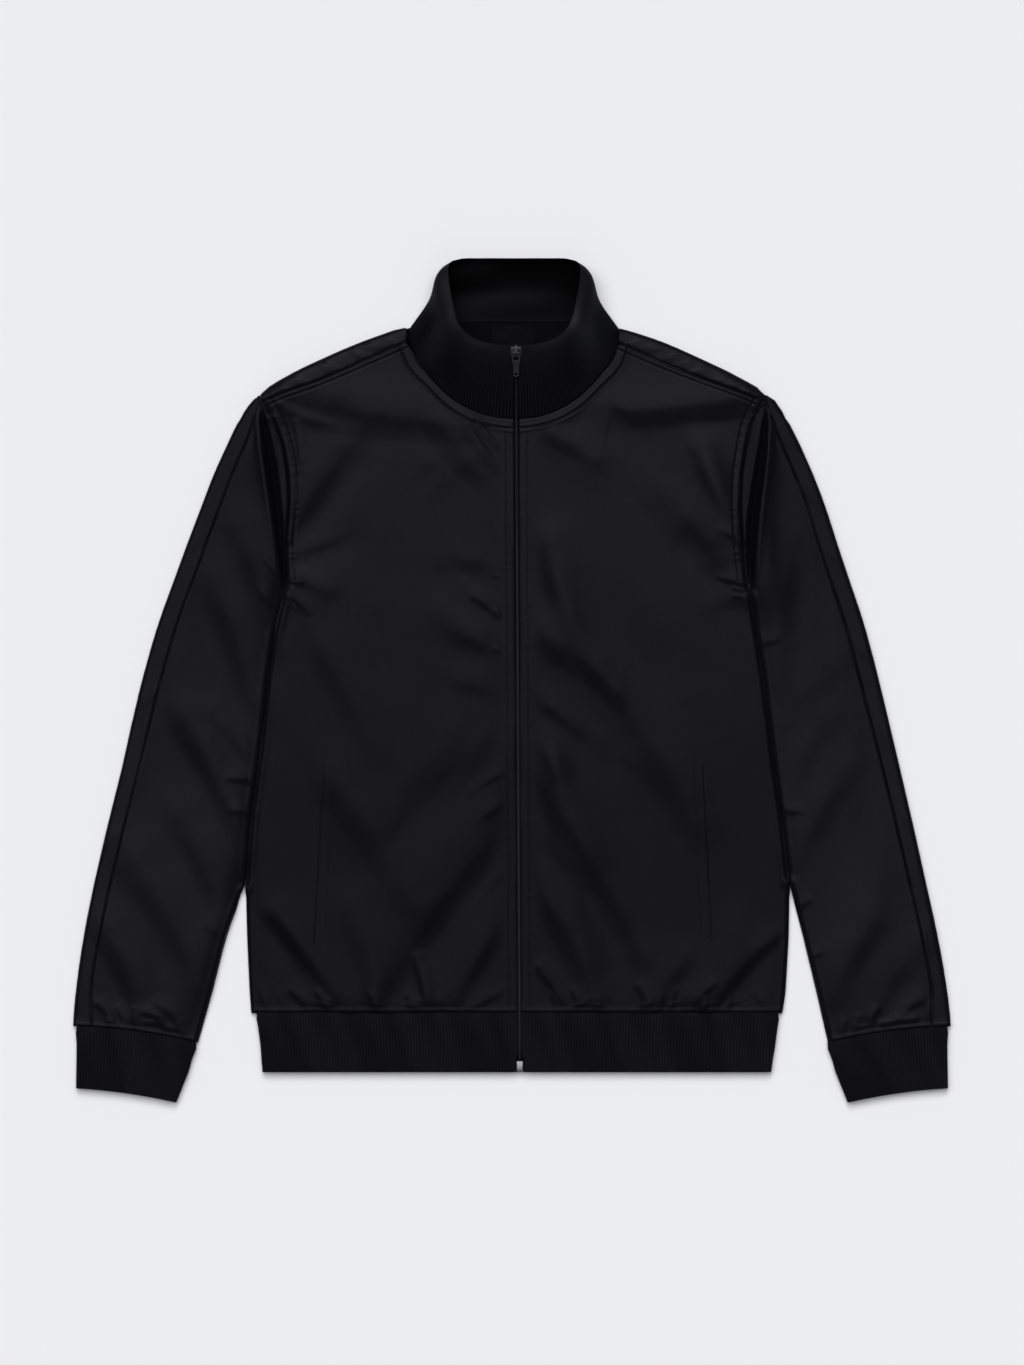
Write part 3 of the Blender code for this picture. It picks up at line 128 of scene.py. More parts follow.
def from_line(line: np.ndarray, plan: np.ndarray, reach: float) -> tuple[np.ndarray, np.ndarray]:
    """Measures how far plan points lie from a line.

    Args:
        line: Points of the line.
        plan: Points to measure from.
        reach: Beyond this distance a point only gets a large number.

    Returns:
        Each point's distance from the line, and how far along the line its nearest place is.
    """
    away = np.full(len(plan), 1e6)
    along = np.zeros(len(plan))
    low, high = line.min(axis=0) - reach, line.max(axis=0) + reach
    near = np.nonzero(((plan > low) & (plan < high)).all(axis=1))[0]
    if not len(near):
        return away, along
    spots = plan[near]
    best, travelled, length = np.full(len(near), 1e6), np.zeros(len(near)), 0.0
    for start, end in zip(line[:-1], line[1:]):
        run = end - start
        span = math.hypot(*run)
        part = np.clip(((spots - start) @ run) / (span * span), 0.0, 1.0)
        distance = np.hypot(*(spots - start - part[:, None] * run).T)
        closer = distance < best
        best[closer] = distance[closer]
        travelled[closer] = length + part[closer] * span
        length += span
    away[near], along[near] = best, travelled
    return away, along


@dataclass(frozen=True)
class Seam:
    """A seam between two pieces: both edges dip into it and stand up a little on each side.

    Attributes:
        name: What the seam joins.
        places: Its places in plan.
        dip: How deep the edges turn down into it.
        lip: How high the cloth stands beside it.
        width: How far the dip reaches to each side.
    """

    name: str
    places: tuple
    dip: float = 0.7
    lip: float = 0.3
    width: float = 1.2

    def line(self) -> np.ndarray:
        """The seam as a smooth line."""
        return smooth_line(self.places)

    def rise(self, plan: np.ndarray) -> np.ndarray:
        """How far the seam lifts or lowers the cloth at plan points.

        Args:
            plan: The points.

        Returns:
            The rise at each point.
        """
        away, _ = from_line(self.line(), plan, 14.0)
        return (
            self.lip * np.exp(-(((away - 2.9) / 1.6) ** 2)) - self.dip * np.exp(-((away / self.width) ** 2))
        )


@dataclass(frozen=True)
class Topstitch:
    """A row of stitches that shows, pressed into the cloth, with small puckers along it.

    Attributes:
        name: What the row holds down.
        places: Its places in plan.
        offset: How far it is moved to the left of its places' run.
        groove: How deep the row pulls the cloth in.
        pucker: How high the puckers beside it stand.
        pitch: Usual distance between puckers.
        lip: How high the cloth stands on each side of the row.
    """

    name: str
    places: tuple
    offset: float = 0.0
    groove: float = 0.45
    pucker: float = 0.16
    pitch: float = 8.0
    lip: float = 0.1

    def line(self) -> np.ndarray:
        """The row as a smooth line."""
        return beside(smooth_line(self.places), self.offset)

    def rise(self, plan: np.ndarray) -> np.ndarray:
        """How far the row lifts or lowers the cloth at plan points.

        Args:
            plan: The points.

        Returns:
            The rise at each point.
        """
        away, along = from_line(self.line(), plan, 14.0)
        turn = along / self.pitch * math.tau
        ripple = np.sin(turn + 1.3 * np.sin(turn * 0.37)) * (0.6 + 0.4 * np.sin(turn * 0.213 + 2.0))
        soft = np.exp(-((away / 4.5) ** 2))
        lip = self.lip * np.exp(-(((away - 2.3) / 1.2) ** 2))
        return lip + self.pucker * ripple * soft - self.groove * np.exp(-((away / 0.9) ** 2))


@dataclass(frozen=True)
class Crease:
    """One soft ridge or trough, long and gentle towards the collar and short and steep towards the hem.

    Attributes:
        x0: Where its crest starts, across.
        y0: Where its crest starts, along.
        x1: Where its crest ends, across.
        y1: Where its crest ends, along.
        width: Width of its steep side.
        rise: How high it stands, or how deep it falls when below zero.
        bow: How far its middle bends to the left of its run.
        gentle: How many times wider its gentle side is.
    """

    x0: float
    y0: float
    x1: float
    y1: float
    width: float
    rise: float
    bow: float = 0.0
    gentle: float = 2.0

    def line(self) -> np.ndarray:
        """The crest's two ends."""
        return np.array(((self.x0, self.y0), (self.x1, self.y1)))

    def lift(self, plan: np.ndarray) -> np.ndarray:
        """How far the crease lifts the cloth at plan points: it grows thinner and lower to its end.

        Args:
            plan: The points.

        Returns:
            The lift at each point.
        """
        start, end = self.line()
        length = float(np.hypot(*(end - start)))
        run = (end - start) / length
        left = np.array([-run[1], run[0]])
        part = (plan - start) @ run / length
        inside = np.clip(part, 0.0, 1.0)
        aside = (plan - start) @ left - self.bow * 4.0 * inside * (1.0 - inside)
        to_collar = aside if left[1] >= 0.0 else -aside
        width = self.width * (1.1 - 0.3 * inside) * np.where(to_collar > 0.0, self.gentle, 1.0)
        beyond = np.maximum(0.0, np.maximum(-part, part - 1.0)) * length
        ends = np.exp(-((beyond / (self.width * (1.2 if self.width < 5.0 else 1.9))) ** 2))
        to_end = np.minimum(inside, 1.0 - inside) * length
        ends *= 1.0 - 0.3 * np.exp(-((to_end / (1.6 * self.width)) ** 2))
        fade = 1.0 - 0.4 * inside * inside
        across = np.exp(-((aside / width) ** 2))
        if self.width >= BROAD_FOLD and self.rise > 0.0:
            down = np.sqrt(np.clip(np.abs(aside) / (1.8 * width), 0.0, 1.0) ** 2 + 0.03) - math.sqrt(0.03)
            broad = np.clip(1.0 - down / (math.sqrt(1.03) - math.sqrt(0.03)), 0.0, 1.0) ** 1.3
            across = np.where(to_collar < 0.0, broad, across)
        return self.rise * fade * ends * across


@dataclass(frozen=True)
class TurnedEdge:
    """An edge beside which the cloth stays up, so that it only turns down at the very edge.

    Attributes:
        places: The edge as places across and along.
        high: How much higher the cloth stays.
        peak: How far from the edge that is.
        reach: How far it spreads from there.
    """

    places: tuple
    high: float = 1.5
    peak: float = 3.2
    reach: float = 3.6

    def lift(self, plan: np.ndarray) -> np.ndarray:
        """How far it lifts the cloth at plan points.

        Args:
            plan: The points.

        Returns:
            The lift at each point.
        """
        away = from_line(np.array(self.places), plan, 16.0)[0]
        return self.high * np.exp(-(((away - self.peak) / self.reach) ** 2))


@dataclass(frozen=True)
class Tuck:
    """The deep pinch where a sleeve folds under beside its armhole, with a crest along its outer wall.

    Attributes:
        side: Which sleeve it is in.
        places: Its floor as places along and across and half its width, from its lower end up.
        steep: How deep it is for each millimetre of half width.
        crest: How high its outer lip stands.
    """

    side: Side
    places: tuple
    steep: float = 1.75
    crest: float = 1.0

    def aside(self, plan: np.ndarray) -> tuple[np.ndarray, np.ndarray]:
        """How far plan points lie from its floor towards the body, and half its width there.

        Args:
            plan: The points.

        Returns:
            Each point's distance, and half the tuck's width beside it.
        """
        along, across, half = np.array(self.places).T
        towards_body = (np.interp(plan[:, 1], along, across) - plan[:, 0]) * self.side.sign
        return towards_body, np.interp(plan[:, 1], along, half)

    def near(self, plan: np.ndarray) -> np.ndarray:
        """Which plan points lie in it or on its lips.

        Args:
            plan: The points.

        Returns:
            Whether each point does.
        """
        aside, half = self.aside(plan)
        inside = (plan[:, 1] > self.places[0][0] - 8.0) & (plan[:, 1] < self.places[-1][0] + 6.0)
        return inside & (np.abs(aside) < half + 4.0)

    def lift(self, plan: np.ndarray) -> np.ndarray:
        """How far it lowers the cloth at plan points, and lifts it along its crest.

        Args:
            plan: The points.

        Returns:
            The lift at each point.
        """
        aside, half = self.aside(plan)
        low, high = self.places[0][0], self.places[-1][0]
        ends = np.clip((plan[:, 1] - low + 6.0) / 18.0, 0.0, 1.0)
        ends = ends * np.clip((high + 4.0 - plan[:, 1]) / 14.0, 0.0, 1.0)
        wall = np.clip(1.0 - np.abs(aside) / half, 0.0, 1.0)
        apron = np.clip(1.0 - aside / (half * 2.6), 0.0, 1.0)
        shape = np.where(aside > 0.0, 0.75 * wall + 0.25 * apron, wall)
        lip = self.crest * np.exp(-(((aside + half + 2.6) / 2.6) ** 2))
        return ends * (lip - self.steep * half * shape)


NECK = (
    (-96.5, 314.0), (-94.0, 306.0), (-88.0, 293.5), (-74.3, 280.0), (-52.5, 259.2), (-28.0, 247.2),
    (2.0, 242.6), (32.0, 247.2), (56.5, 259.2), (78.3, 280.0), (92.0, 294.0), (98.0, 306.0), (99.5, 313.0),
)
SHOULDER = {
    Side.RIGHT: ((-98.4, 314.2), (-129.0, 300.7), (-179.0, 279.2), (-215.0, 266.2), (-230.5, 259.2)),
    Side.LEFT: ((98.4, 313.2), (138.0, 295.7), (177.0, 280.7), (211.0, 268.2), (232.0, 259.2)),
}
ARMHOLE = {
    Side.RIGHT: (
        (-230.5, 259.0), (-220.0, 241.0), (-212.5, 219.0), (-208.0, 192.0), (-207.0, 164.0), (-210.0, 126.0),
        (-209.5, 93.0),
    ),
    Side.LEFT: (
        (232.0, 259.0), (222.0, 241.0), (217.0, 219.0), (213.0, 192.0), (212.0, 164.0), (214.0, 126.0),
        (217.5, 93.0),
    ),
}
SLEEVE_SEAM = {
    Side.RIGHT: (
        (-239.0, 245.0), (-248.0, 219.0), (-260.0, 192.0), (-270.5, 164.0), (-284.5, 126.0), (-296.5, 93.0),
        (-310.5, 55.0), (-321.5, 18.0), (-333.0, -25.0), (-346.0, -80.0), (-361.5, -140.0), (-373.5, -190.0),
        (-383.0, -236.0), (-391.0, -285.0), (-390.5, -322.5),
    ),
    Side.LEFT: (
        (241.0, 245.0), (251.0, 219.0), (262.5, 192.0), (273.5, 164.0), (285.0, 126.0), (296.0, 93.0),
        (309.0, 55.0), (319.0, 18.0), (330.0, -25.0), (344.0, -80.0), (358.5, -140.0), (370.0, -190.0),
        (380.5, -236.0), (390.0, -285.0), (390.5, -322.5),
    ),
}
CUFF_SEAM = {
    Side.RIGHT: ((-406.0, -321.8), (-376.0, -324.0), (-349.0, -327.0), (-322.0, -331.5), (-292.0, -337.6)),
    Side.LEFT: ((406.0, -321.8), (376.0, -324.0), (349.0, -327.0), (322.0, -331.5), (292.0, -337.6)),
}
POCKET = {
    Side.RIGHT: ((-175.0, -79.0), (-183.0, -244.0)),
    Side.LEFT: ((178.0, -80.0), (185.0, -243.0)),
}
OPEN_CORNERS = ((234.0, 264.6), (99.5, 327.0))  # where three rolled edges meet
HEM_SEAM = -309.2
ZIP_TOP = (3.7, 310.0)
ZIP_FOOT = (7.3, -364.0)


def zip_across(along: float) -> float:
    """How far across the zip's middle lies at a place along the jacket."""
    part = (along - ZIP_FOOT[1]) / (ZIP_TOP[1] - ZIP_FOOT[1])
    return ZIP_FOOT[0] + (ZIP_TOP[0] - ZIP_FOOT[0]) * part


def zip_line(aside: float, low: float, high: float) -> tuple:
    """Places of a straight line beside the zip, from its lower end to its upper end."""
    return ((zip_across(low) + aside, low), (zip_across(high) + aside, high))


def sewing_lines() -> tuple[list[Seam], list[Topstitch]]:
    """Lists the seams and rows of stitches on the jacket's upper side.

    Returns:
        The seams, and the rows of stitches.
    """
    seams = [
        Seam("neck", NECK, dip=0.5, lip=0.0),
        Seam("hem", ((-244.0, HEM_SEAM), (0.0, HEM_SEAM), (252.0, HEM_SEAM)), dip=0.6, lip=0.9, width=0.9),
    ]
    rows = [Topstitch("neck_band", NECK, offset=-8.4, groove=0.7, pucker=0.08, pitch=11.0, lip=0.35)]
    for side in Side:
        word, sign = side.word, side.sign
        seams.append(Seam("shoulder_" + word, SHOULDER[side], dip=0.9, lip=0.25, width=0.9))
        seams.append(Seam("armhole_" + word, ARMHOLE[side], dip=0.4, lip=0.35, width=0.8))
        seams.append(Seam("sleeve_" + word, SLEEVE_SEAM[side], dip=0.9, lip=0.15, width=0.8))
        seams.append(Seam("cuff_" + word, CUFF_SEAM[side], dip=0.6, lip=0.9, width=0.9))
        rows.append(Topstitch("armhole_row_" + word, ARMHOLE[side], offset=-7.0 * sign, groove=0.5))
        rows.append(
            Topstitch("shoulder_row_" + word, SHOULDER[side], offset=-5.0 * sign, groove=0.35, pucker=0.1)
        )
        rows.append(
            Topstitch(
                "placket_row_" + word, zip_line(9.7 * sign, -306.0, 230.0),
                groove=0.22, pucker=0.06, lip=0.05,
            )
        )
        (x0, y0), (x1, y1) = POCKET[side]
        seams.append(Seam("pocket_" + word, POCKET[side], dip=0.5, lip=0.0, width=0.8))
        rows.append(
            Topstitch(
                "pocket_row_" + word, ((x0 - 9.0 * sign, y0), (x1 - 9.0 * sign, y1)),
                groove=0.1, pucker=0.03, lip=0.0,
            )
        )
    return seams, rows


# Edges that turn down into a gap or a seam, with the cloth beside them
TURNED_EDGES = (
    # body against sleeve, then the free sides of the body and the inner folds of the sleeves
    TurnedEdge((
        (-212.0, 76.0), (-221.0, 40.0), (-227.0, 0.0), (-232.5, -60.0), (-241.0, -120.0), (-247.0, -190.0),
    )),
    TurnedEdge(((-247.0, -196.0), (-246.5, -240.0), (-244.5, -306.0))),
    TurnedEdge(((-250.0, -196.0), (-265.5, -240.0), (-281.5, -300.0), (-291.0, -332.0))),
    TurnedEdge((
        (222.0, 76.0), (227.0, 40.0), (233.0, 0.0), (241.0, -60.0), (249.0, -120.0), (256.0, -184.0),
    )),
    TurnedEdge(((257.0, -190.0), (257.5, -240.0), (253.5, -306.0))),
    TurnedEdge(((260.0, -190.0), (271.5, -240.0), (285.5, -300.0), (294.0, -332.0))),
    # sleeve beside its armhole
    TurnedEdge(
        ((-222.5, 243.0), (-213.0, 219.0), (-208.6, 192.0), (-207.6, 164.0), (-209.5, 130.0)),
        1.7, 1.0, 3.4,
    ),
    TurnedEdge(
        ((225.0, 243.0), (217.6, 219.0), (213.6, 192.0), (212.6, 164.0), (214.5, 130.0)),
        1.5, 1.0, 3.2,
    ),
)
# spots where the solid's own wide faces leave a faint line: place across, along and reach
RESTLESS = ((86.0, 232.0, 24.0),)

# Creases of the fronts, sleeves and shoulders; each runs along its crest
FINE_CREASES = (
    # wearer's right front, from the shoulder down
    Crease(-212.0, 256.0, -168.0, 239.0, 5.8, 1.2, -2.0, 0.45),
    Crease(-206.0, 264.0, -52.0, 240.0, 16.0, 4.6, -2.0),
    Crease(-201.5, 240.0, -197.0, 196.0, 3.2, 1.2, 2.0, 2.2),
    Crease(-157.0, 212.0, -206.0, 140.0, 11.5, 2.4, -2.0),
    Crease(-207.0, 116.0, -166.0, 131.0, 6.2, 2.0, 1.0),
    Crease(-207.0, 98.0, -170.0, 84.0, 6.0, 2.2, 1.0),
    Crease(-207.0, 81.0, -190.0, 64.0, 3.8, 1.7, 1.0),
    Crease(-203.0, 78.0, -132.0, -52.0, 14.0, 3.2, 4.0),
    Crease(-40.0, 237.0, -13.0, 197.0, 5.6, 1.5, -1.5, 0.6),
    Crease(-29.0, 236.0, -14.0, 219.0, 4.4, 1.2, 0.0, 0.6),
    Crease(-58.0, 234.0, -20.0, 188.0, 12.0, 2.8, -4.0),
    Crease(-44.0, 113.0, -16.0, 107.0, 7.5, 1.3, 2.0),
    Crease(-34.0, 78.0, -15.0, 62.0, 4.6, 1.5, 1.5),
    Crease(-42.0, 42.0, -15.0, 29.0, 8.0, 1.8, 3.0),
    Crease(-44.0, -1.0, -16.0, -8.0, 8.0, 1.4, 2.0),
    Crease(-9.0, -35.0, -96.0, -122.0, 15.9, 3.4, -6.0),
    Crease(-11.0, -86.0, -38.0, -104.0, 4.0, 1.1, -1.0),
    Crease(-11.0, -116.0, -30.0, -128.0, 3.6, 0.9),
    Crease(-12.0, -134.0, -114.0, -274.0, 14.0, 4.0, -4.0),
    Crease(-8.0, -176.0, -30.0, -204.0, 4.0, 0.7),
    Crease(-8.0, -225.0, -47.0, -283.0, 7.5, 2.4, -1.5),
    Crease(-156.0, -98.0, -93.0, -204.0, 15.0, 3.7, 5.0),
    Crease(-144.0, -210.0, -122.0, -305.0, 11.2, 2.9, 4.0),
    Crease(-219.0, -219.0, -155.0, -304.0, 6.6, 3.5, 2.0, 3.0),
    Crease(-204.0, -288.0, -188.0, -307.0, 3.6, 1.7, 1.0),
    Crease(-88.0, -258.0, -79.0, -306.0, 4.6, 2.2, 1.5),
    Crease(-36.0, -302.0, -8.0, -288.0, 4.0, 0.9),
    # wearer's left front
    Crease(24.0, 238.0, 74.0, 210.0, 8.5, 2.6, 1.5, 2.0),
    Crease(218.0, 266.0, 58.0, 247.0, 12.0, 4.0, 1.0),
    Crease(150.0, 172.0, 217.0, 90.0, 16.0, 4.8, -2.0),
    Crease(178.0, 214.0, 206.0, 148.0, 8.0, 3.2, -2.0),
    Crease(196.0, 140.0, 212.0, 130.0, 3.4, 1.0),
    Crease(215.0, 91.0, 194.0, 96.0, 3.8, 1.7),
    Crease(214.0, 79.0, 188.0, 72.0, 8.0, 1.5, -2.0),
    Crease(36.0, 124.0, 113.0, -26.0, 12.0, 3.6, -11.0),
    Crease(30.0, 42.0, 92.0, -8.0, 11.2, 3.0, 4.0),
    Crease(115.0, 98.0, 168.0, -4.0, 21.8, 2.2, 4.0),
    Crease(25.0, -17.0, 57.0, -43.0, 6.2, 2.1, 2.0),
    Crease(118.0, -42.0, 168.0, -126.0, 17.4, 3.4, 4.0),
    Crease(26.0, -56.0, 47.0, -101.0, 6.9, 2.5, 3.0),
    Crease(30.0, -98.0, 122.0, -250.0, 15.0, 4.4, 5.0),
    Crease(24.0, -138.0, 58.0, -184.0, 6.2, 1.7, 2.0),
    Crease(23.0, -188.0, 78.0, -286.0, 11.2, 3.7, 5.0),
    Crease(26.0, -266.0, 52.0, -305.0, 4.6, 2.3, 1.0),
    Crease(118.0, -284.0, 131.0, -306.0, 3.6, 1.7, 1.0),
    Crease(160.0, -260.0, 131.0, -304.0, 7.5, 2.1, -2.0),
    Crease(186.0, -282.0, 167.0, -304.0, 4.0, 1.8, -2.0),
    Crease(240.0, -240.0, 188.0, -302.0, 5.6, 3.2, -3.0, 3.0),
    Crease(216.0, -296.0, 194.0, -306.0, 3.0, 1.0, -1.0),
    Crease(226.0, -290.0, 236.0, -306.0, 3.0, 0.8),
    # folds of the laid cloth that lie flatter than they were pressed
    Crease(-12.0, -70.0, -98.0, -170.0, 15.0, -2.2, 0.0, 1.0),
    Crease(-210.0, 10.0, -160.0, -70.0, 16.0, -1.6, 0.0, 1.0),
    Crease(-238.0, -210.0, -184.0, -300.0, 12.0, -2.2, 0.0, 1.0),
    Crease(-22.0, 232.0, -70.0, 196.0, 12.0, -1.7, 0.0, 1.0),
    Crease(-14.0, -12.0, -120.0, 30.0, 16.0, 1.8, 0.0, 1.0),
    Crease(26.0, -18.0, 96.0, -66.0, 12.0, 1.6, 0.0, 1.0),
    Crease(36.0, -100.0, 114.0, -242.0, 14.0, 1.4, 0.0, 1.0),
    Crease(28.0, -130.0, 52.0, -230.0, 12.0, -1.8, 0.0, 1.0),
    Crease(26.0, 112.0, 70.0, 28.0, 13.0, 1.8, 0.0, 1.0),
    Crease(-16.0, 63.0, -62.0, 104.0, 10.0, 1.4, 0.0, 1.0),
    # small puckers beside the zip, at the armholes and above the bands, where the sewing draws the cloth in
    Crease(-15.0, 65.0, -11.0, 60.0, 2.4, 0.9, 0.0, 0.9),
    Crease(-14.5, 29.0, -11.0, 26.0, 2.4, 0.9, 0.0, 0.9),
    Crease(-15.0, 98.0, -11.0, 97.0, 2.2, 0.6, 0.0, 0.9),
    Crease(-204.0, 92.0, -197.0, 91.0, 2.2, 0.8, 0.0, 0.8),
    Crease(-205.0, 86.0, -199.0, 80.0, 2.2, 0.9, 0.0, 0.8),
    Crease(-205.0, 71.0, -200.0, 66.0, 2.2, 0.8, 0.0, 0.8),
    Crease(206.0, 86.0, 213.0, 84.0, 2.2, 0.9, 0.0, 0.8),
    Crease(207.0, 79.0, 213.0, 78.0, 2.2, 0.8, 0.0, 0.8),
    Crease(-179.0, -300.0, -170.0, -302.5, 3.0, 0.98, 0.0, 0.8),
    Crease(-128.0, -301.0, -121.0, -302.0, 2.8, 0.91, 0.0, 0.8),
    Crease(-98.0, -301.0, -90.0, -303.0, 2.8, 0.91, 0.0, 0.8),
    Crease(58.0, -302.0, 66.0, -300.0, 2.8, 0.85, 0.0, 0.8),
    Crease(76.0, -302.0, 83.0, -302.5, 2.6, 0.78, 0.0, 0.8),
    Crease(121.0, -302.0, 128.0, -300.0, 2.8, 0.91, 0.0, 0.8),
    Crease(146.0, -302.0, 153.0, -299.5, 2.8, 0.91, 0.0, 0.8),
    Crease(176.0, -303.0, 184.0, -300.0, 2.8, 0.85, 0.0, 0.8),
    Crease(-40.0, -303.0, -30.0, -301.0, 2.6, 0.52, 0.0, 0.8),
    Crease(214.0, -302.0, 221.0, -300.0, 2.6, 0.59, 0.0, 0.8),
    Crease(-376.0, -316.0, -367.0, -319.0, 3.0, 1.04, 0.0, 0.8),
    Crease(-340.0, -317.0, -327.0, -318.0, 3.0, 1.04, 0.0, 0.8),
    Crease(-322.0, -322.0, -313.0, -325.0, 2.8, 0.85, 0.0, 0.8),
    Crease(344.0, -318.0, 356.0, -316.5, 3.0, 1.04, 0.0, 0.8),
    Crease(362.0, -316.0, 374.0, -314.0, 3.0, 0.98, 0.0, 0.8),
    Crease(322.0, -322.0, 330.0, -320.5, 2.8, 0.78, 0.0, 0.8),
    # gathers above the hem band
    Crease(-233.0, -288.0, -228.0, -307.0, 3.0, 0.8),
    Crease(-216.0, -292.0, -212.0, -307.0, 2.6, 0.7),
    Crease(-180.0, -290.0, -172.0, -307.0, 2.8, 1.4, 1.0),
    Crease(-171.0, -297.0, -168.0, -308.0, 2.4, 1.2),
    Crease(-152.0, -294.0, -151.0, -307.0, 2.6, 0.7),
    Crease(-131.0, -292.0, -127.0, -307.0, 2.6, 1.3, 1.0),
    Crease(-108.0, -296.0, -107.0, -307.0, 2.4, 0.6),
    Crease(-97.0, -292.0, -93.0, -307.0, 2.8, 1.5, 1.0),
    Crease(-89.0, -298.0, -88.0, -308.0, 2.2, 1.2),
    Crease(-68.0, -294.0, -66.0, -307.0, 2.6, 0.7),
    Crease(-52.0, -296.0, -50.0, -307.0, 2.4, 0.5),
    Crease(37.0, -292.0, 42.0, -307.0, 2.6, 1.2, 1.0),
    Crease(57.0, -288.0, 63.0, -307.0, 2.8, 1.4, 1.0),
    Crease(69.0, -296.0, 71.0, -307.0, 2.4, 0.8),
    Crease(78.0, -296.0, 80.0, -307.0, 2.6, 1.2),
    Crease(100.0, -296.0, 101.0, -307.0, 2.4, 0.5),
    Crease(122.0, -297.0, 124.0, -308.0, 2.4, 1.2),
    Crease(140.0, -294.0, 137.0, -307.0, 2.4, 0.9),
    Crease(152.0, -288.0, 147.0, -307.0, 2.8, 1.3, -1.0),
    Crease(164.0, -286.0, 160.0, -307.0, 2.8, 1.2, -1.0),
    Crease(180.0, -296.0, 177.0, -308.0, 2.2, 1.3),
    Crease(204.0, -292.0, 200.0, -307.0, 2.4, 0.9),
    # gathers above the cuffs
    Crease(-384.0, -300.0, -372.0, -322.0, 4.0, 1.8, 3.0),
    Crease(-366.0, -304.0, -361.0, -324.0, 3.2, 1.6, 2.0),
    Crease(-351.0, -306.0, -346.0, -326.0, 3.4, 1.5, -2.0),
    Crease(-340.0, -308.0, -322.0, -322.0, 3.6, 2.0, 3.0),
    Crease(-330.0, -300.0, -310.0, -318.0, 4.0, 1.6, 2.0),
    Crease(-312.0, -322.0, -300.0, -332.0, 3.0, 1.1),
    Crease(388.0, -302.0, 384.0, -320.0, 3.0, 0.8),
    Crease(380.0, -296.0, 360.0, -312.0, 4.4, 1.7, -2.0),
    Crease(374.0, -314.0, 346.0, -320.0, 3.4, 1.7, -2.0),
    Crease(338.0, -306.0, 334.0, -324.0, 3.6, 1.8, -2.0),
    Crease(322.0, -312.0, 318.0, -328.0, 3.0, 1.0),
    Crease(308.0, -318.0, 306.0, -332.0, 3.0, 0.9),
    # wearer's right sleeve
    Crease(-252.0, 140.0, -224.0, 42.0, 11.0, 3.0, 3.0),
    Crease(-276.0, 92.0, -243.0, -10.0, 12.6, 3.4, 4.0),
    Crease(-276.0, -30.0, -242.0, -79.0, 6.4, 2.4, 3.0),
    Crease(-300.0, -36.0, -249.0, -149.0, 11.2, 3.8, 3.0),
    Crease(-262.0, -90.0, -240.0, -94.0, 3.6, 1.7, 1.0),
    Crease(-258.0, -120.0, -241.0, -124.0, 3.2, 1.2, 1.0),
    Crease(-306.0, -128.0, -268.0, -212.0, 13.0, 3.6, 3.0),
    Crease(-347.0, -168.0, -289.0, -276.0, 14.5, 3.7, 3.0),
    Crease(-374.0, -232.0, -347.0, -306.0, 10.5, 3.5, 3.0),
    Crease(-228.0, 112.0, -216.0, 96.0, 3.0, 0.9),
    Crease(-232.0, 82.0, -219.0, 68.0, 3.2, 0.8),
    Crease(-284.0, -226.0, -268.0, -240.0, 4.0, 0.9),
    # wearer's left sleeve
    Crease(262.0, 130.0, 246.0, 44.0, 12.6, 1.4, -2.0),
    Crease(244.0, 38.0, 229.0, 32.0, 3.2, 0.9, -1.0),
    Crease(292.0, 12.0, 258.0, -34.0, 11.2, 1.9, -3.0),
    Crease(287.0, -38.0, 262.0, -94.0, 11.2, 1.8, -3.0),
    Crease(251.0, -118.0, 268.0, -121.0, 3.8, 1.4, -1.0),
    Crease(304.0, -86.0, 266.0, -160.0, 11.2, 2.2, -2.0),
    Crease(330.0, -226.0, 298.0, -288.0, 11.2, 2.4, -2.0),
    Crease(374.0, -246.0, 344.0, -294.0, 11.2, 2.2, -2.0),
    Crease(276.0, -204.0, 262.0, -212.0, 3.2, 0.8),
    Crease(290.0, -250.0, 276.0, -258.0, 3.2, 0.8),
    # wrinkles across the strips outside the sleeve seams
    Crease(282.0, 168.0, 271.0, 178.0, 4.0, 0.7),
    Crease(304.0, 112.0, 293.0, 120.0, 4.0, 0.6),
    Crease(330.0, 22.0, 320.0, 34.0, 4.4, 0.7),
    Crease(352.0, -58.0, 342.0, -44.0, 4.4, 0.6),
    Crease(372.0, -136.0, 362.0, -122.0, 4.4, 0.7),
    Crease(-296.0, 126.0, -286.0, 134.0, 4.4, 0.6),
    Crease(-342.0, -20.0, -330.0, -8.0, 4.4, 0.6),
    Crease(-376.0, -150.0, -364.0, -138.0, 4.4, 0.6),
    # wrinkles across the rolled shoulders
    Crease(-106.0, 311.0, -124.0, 323.0, 4.6, 0.75, 0.0, 0.45),
    Crease(-131.0, 301.0, -152.0, 309.0, 4.6, 0.75, 1.0, 0.45),
    Crease(-159.0, 289.0, -181.0, 296.0, 4.6, 0.75, 0.0, 0.45),
    Crease(-190.0, 277.0, -208.0, 281.0, 4.6, 0.75, 0.0, 0.45),
    Crease(-208.0, 270.0, -222.0, 275.0, 4.6, 0.75, 0.0, 0.45),
    Crease(107.0, 310.0, 126.0, 320.0, 4.6, 0.75, 0.0, 0.45),
    Crease(136.0, 298.0, 157.0, 306.0, 4.6, 0.75, -1.0, 0.45),
    Crease(166.0, 286.0, 186.0, 292.0, 4.6, 0.75, 0.0, 0.45),
    Crease(198.0, 274.0, 216.0, 278.0, 4.6, 0.75, 0.0, 0.45),
    Crease(214.0, 268.0, 227.0, 272.0, 4.6, 0.75, 0.0, 0.45),
    Crease(-118.0, 312.0, -142.0, 312.0, 4.0, 0.7, 1.0, 0.45),
    Crease(-170.0, 289.0, -178.0, 294.0, 4.0, 0.6, 0.0, 0.45),
    Crease(-140.0, 300.0, -149.0, 307.0, 3.6, 0.5, 0.0, 0.45),
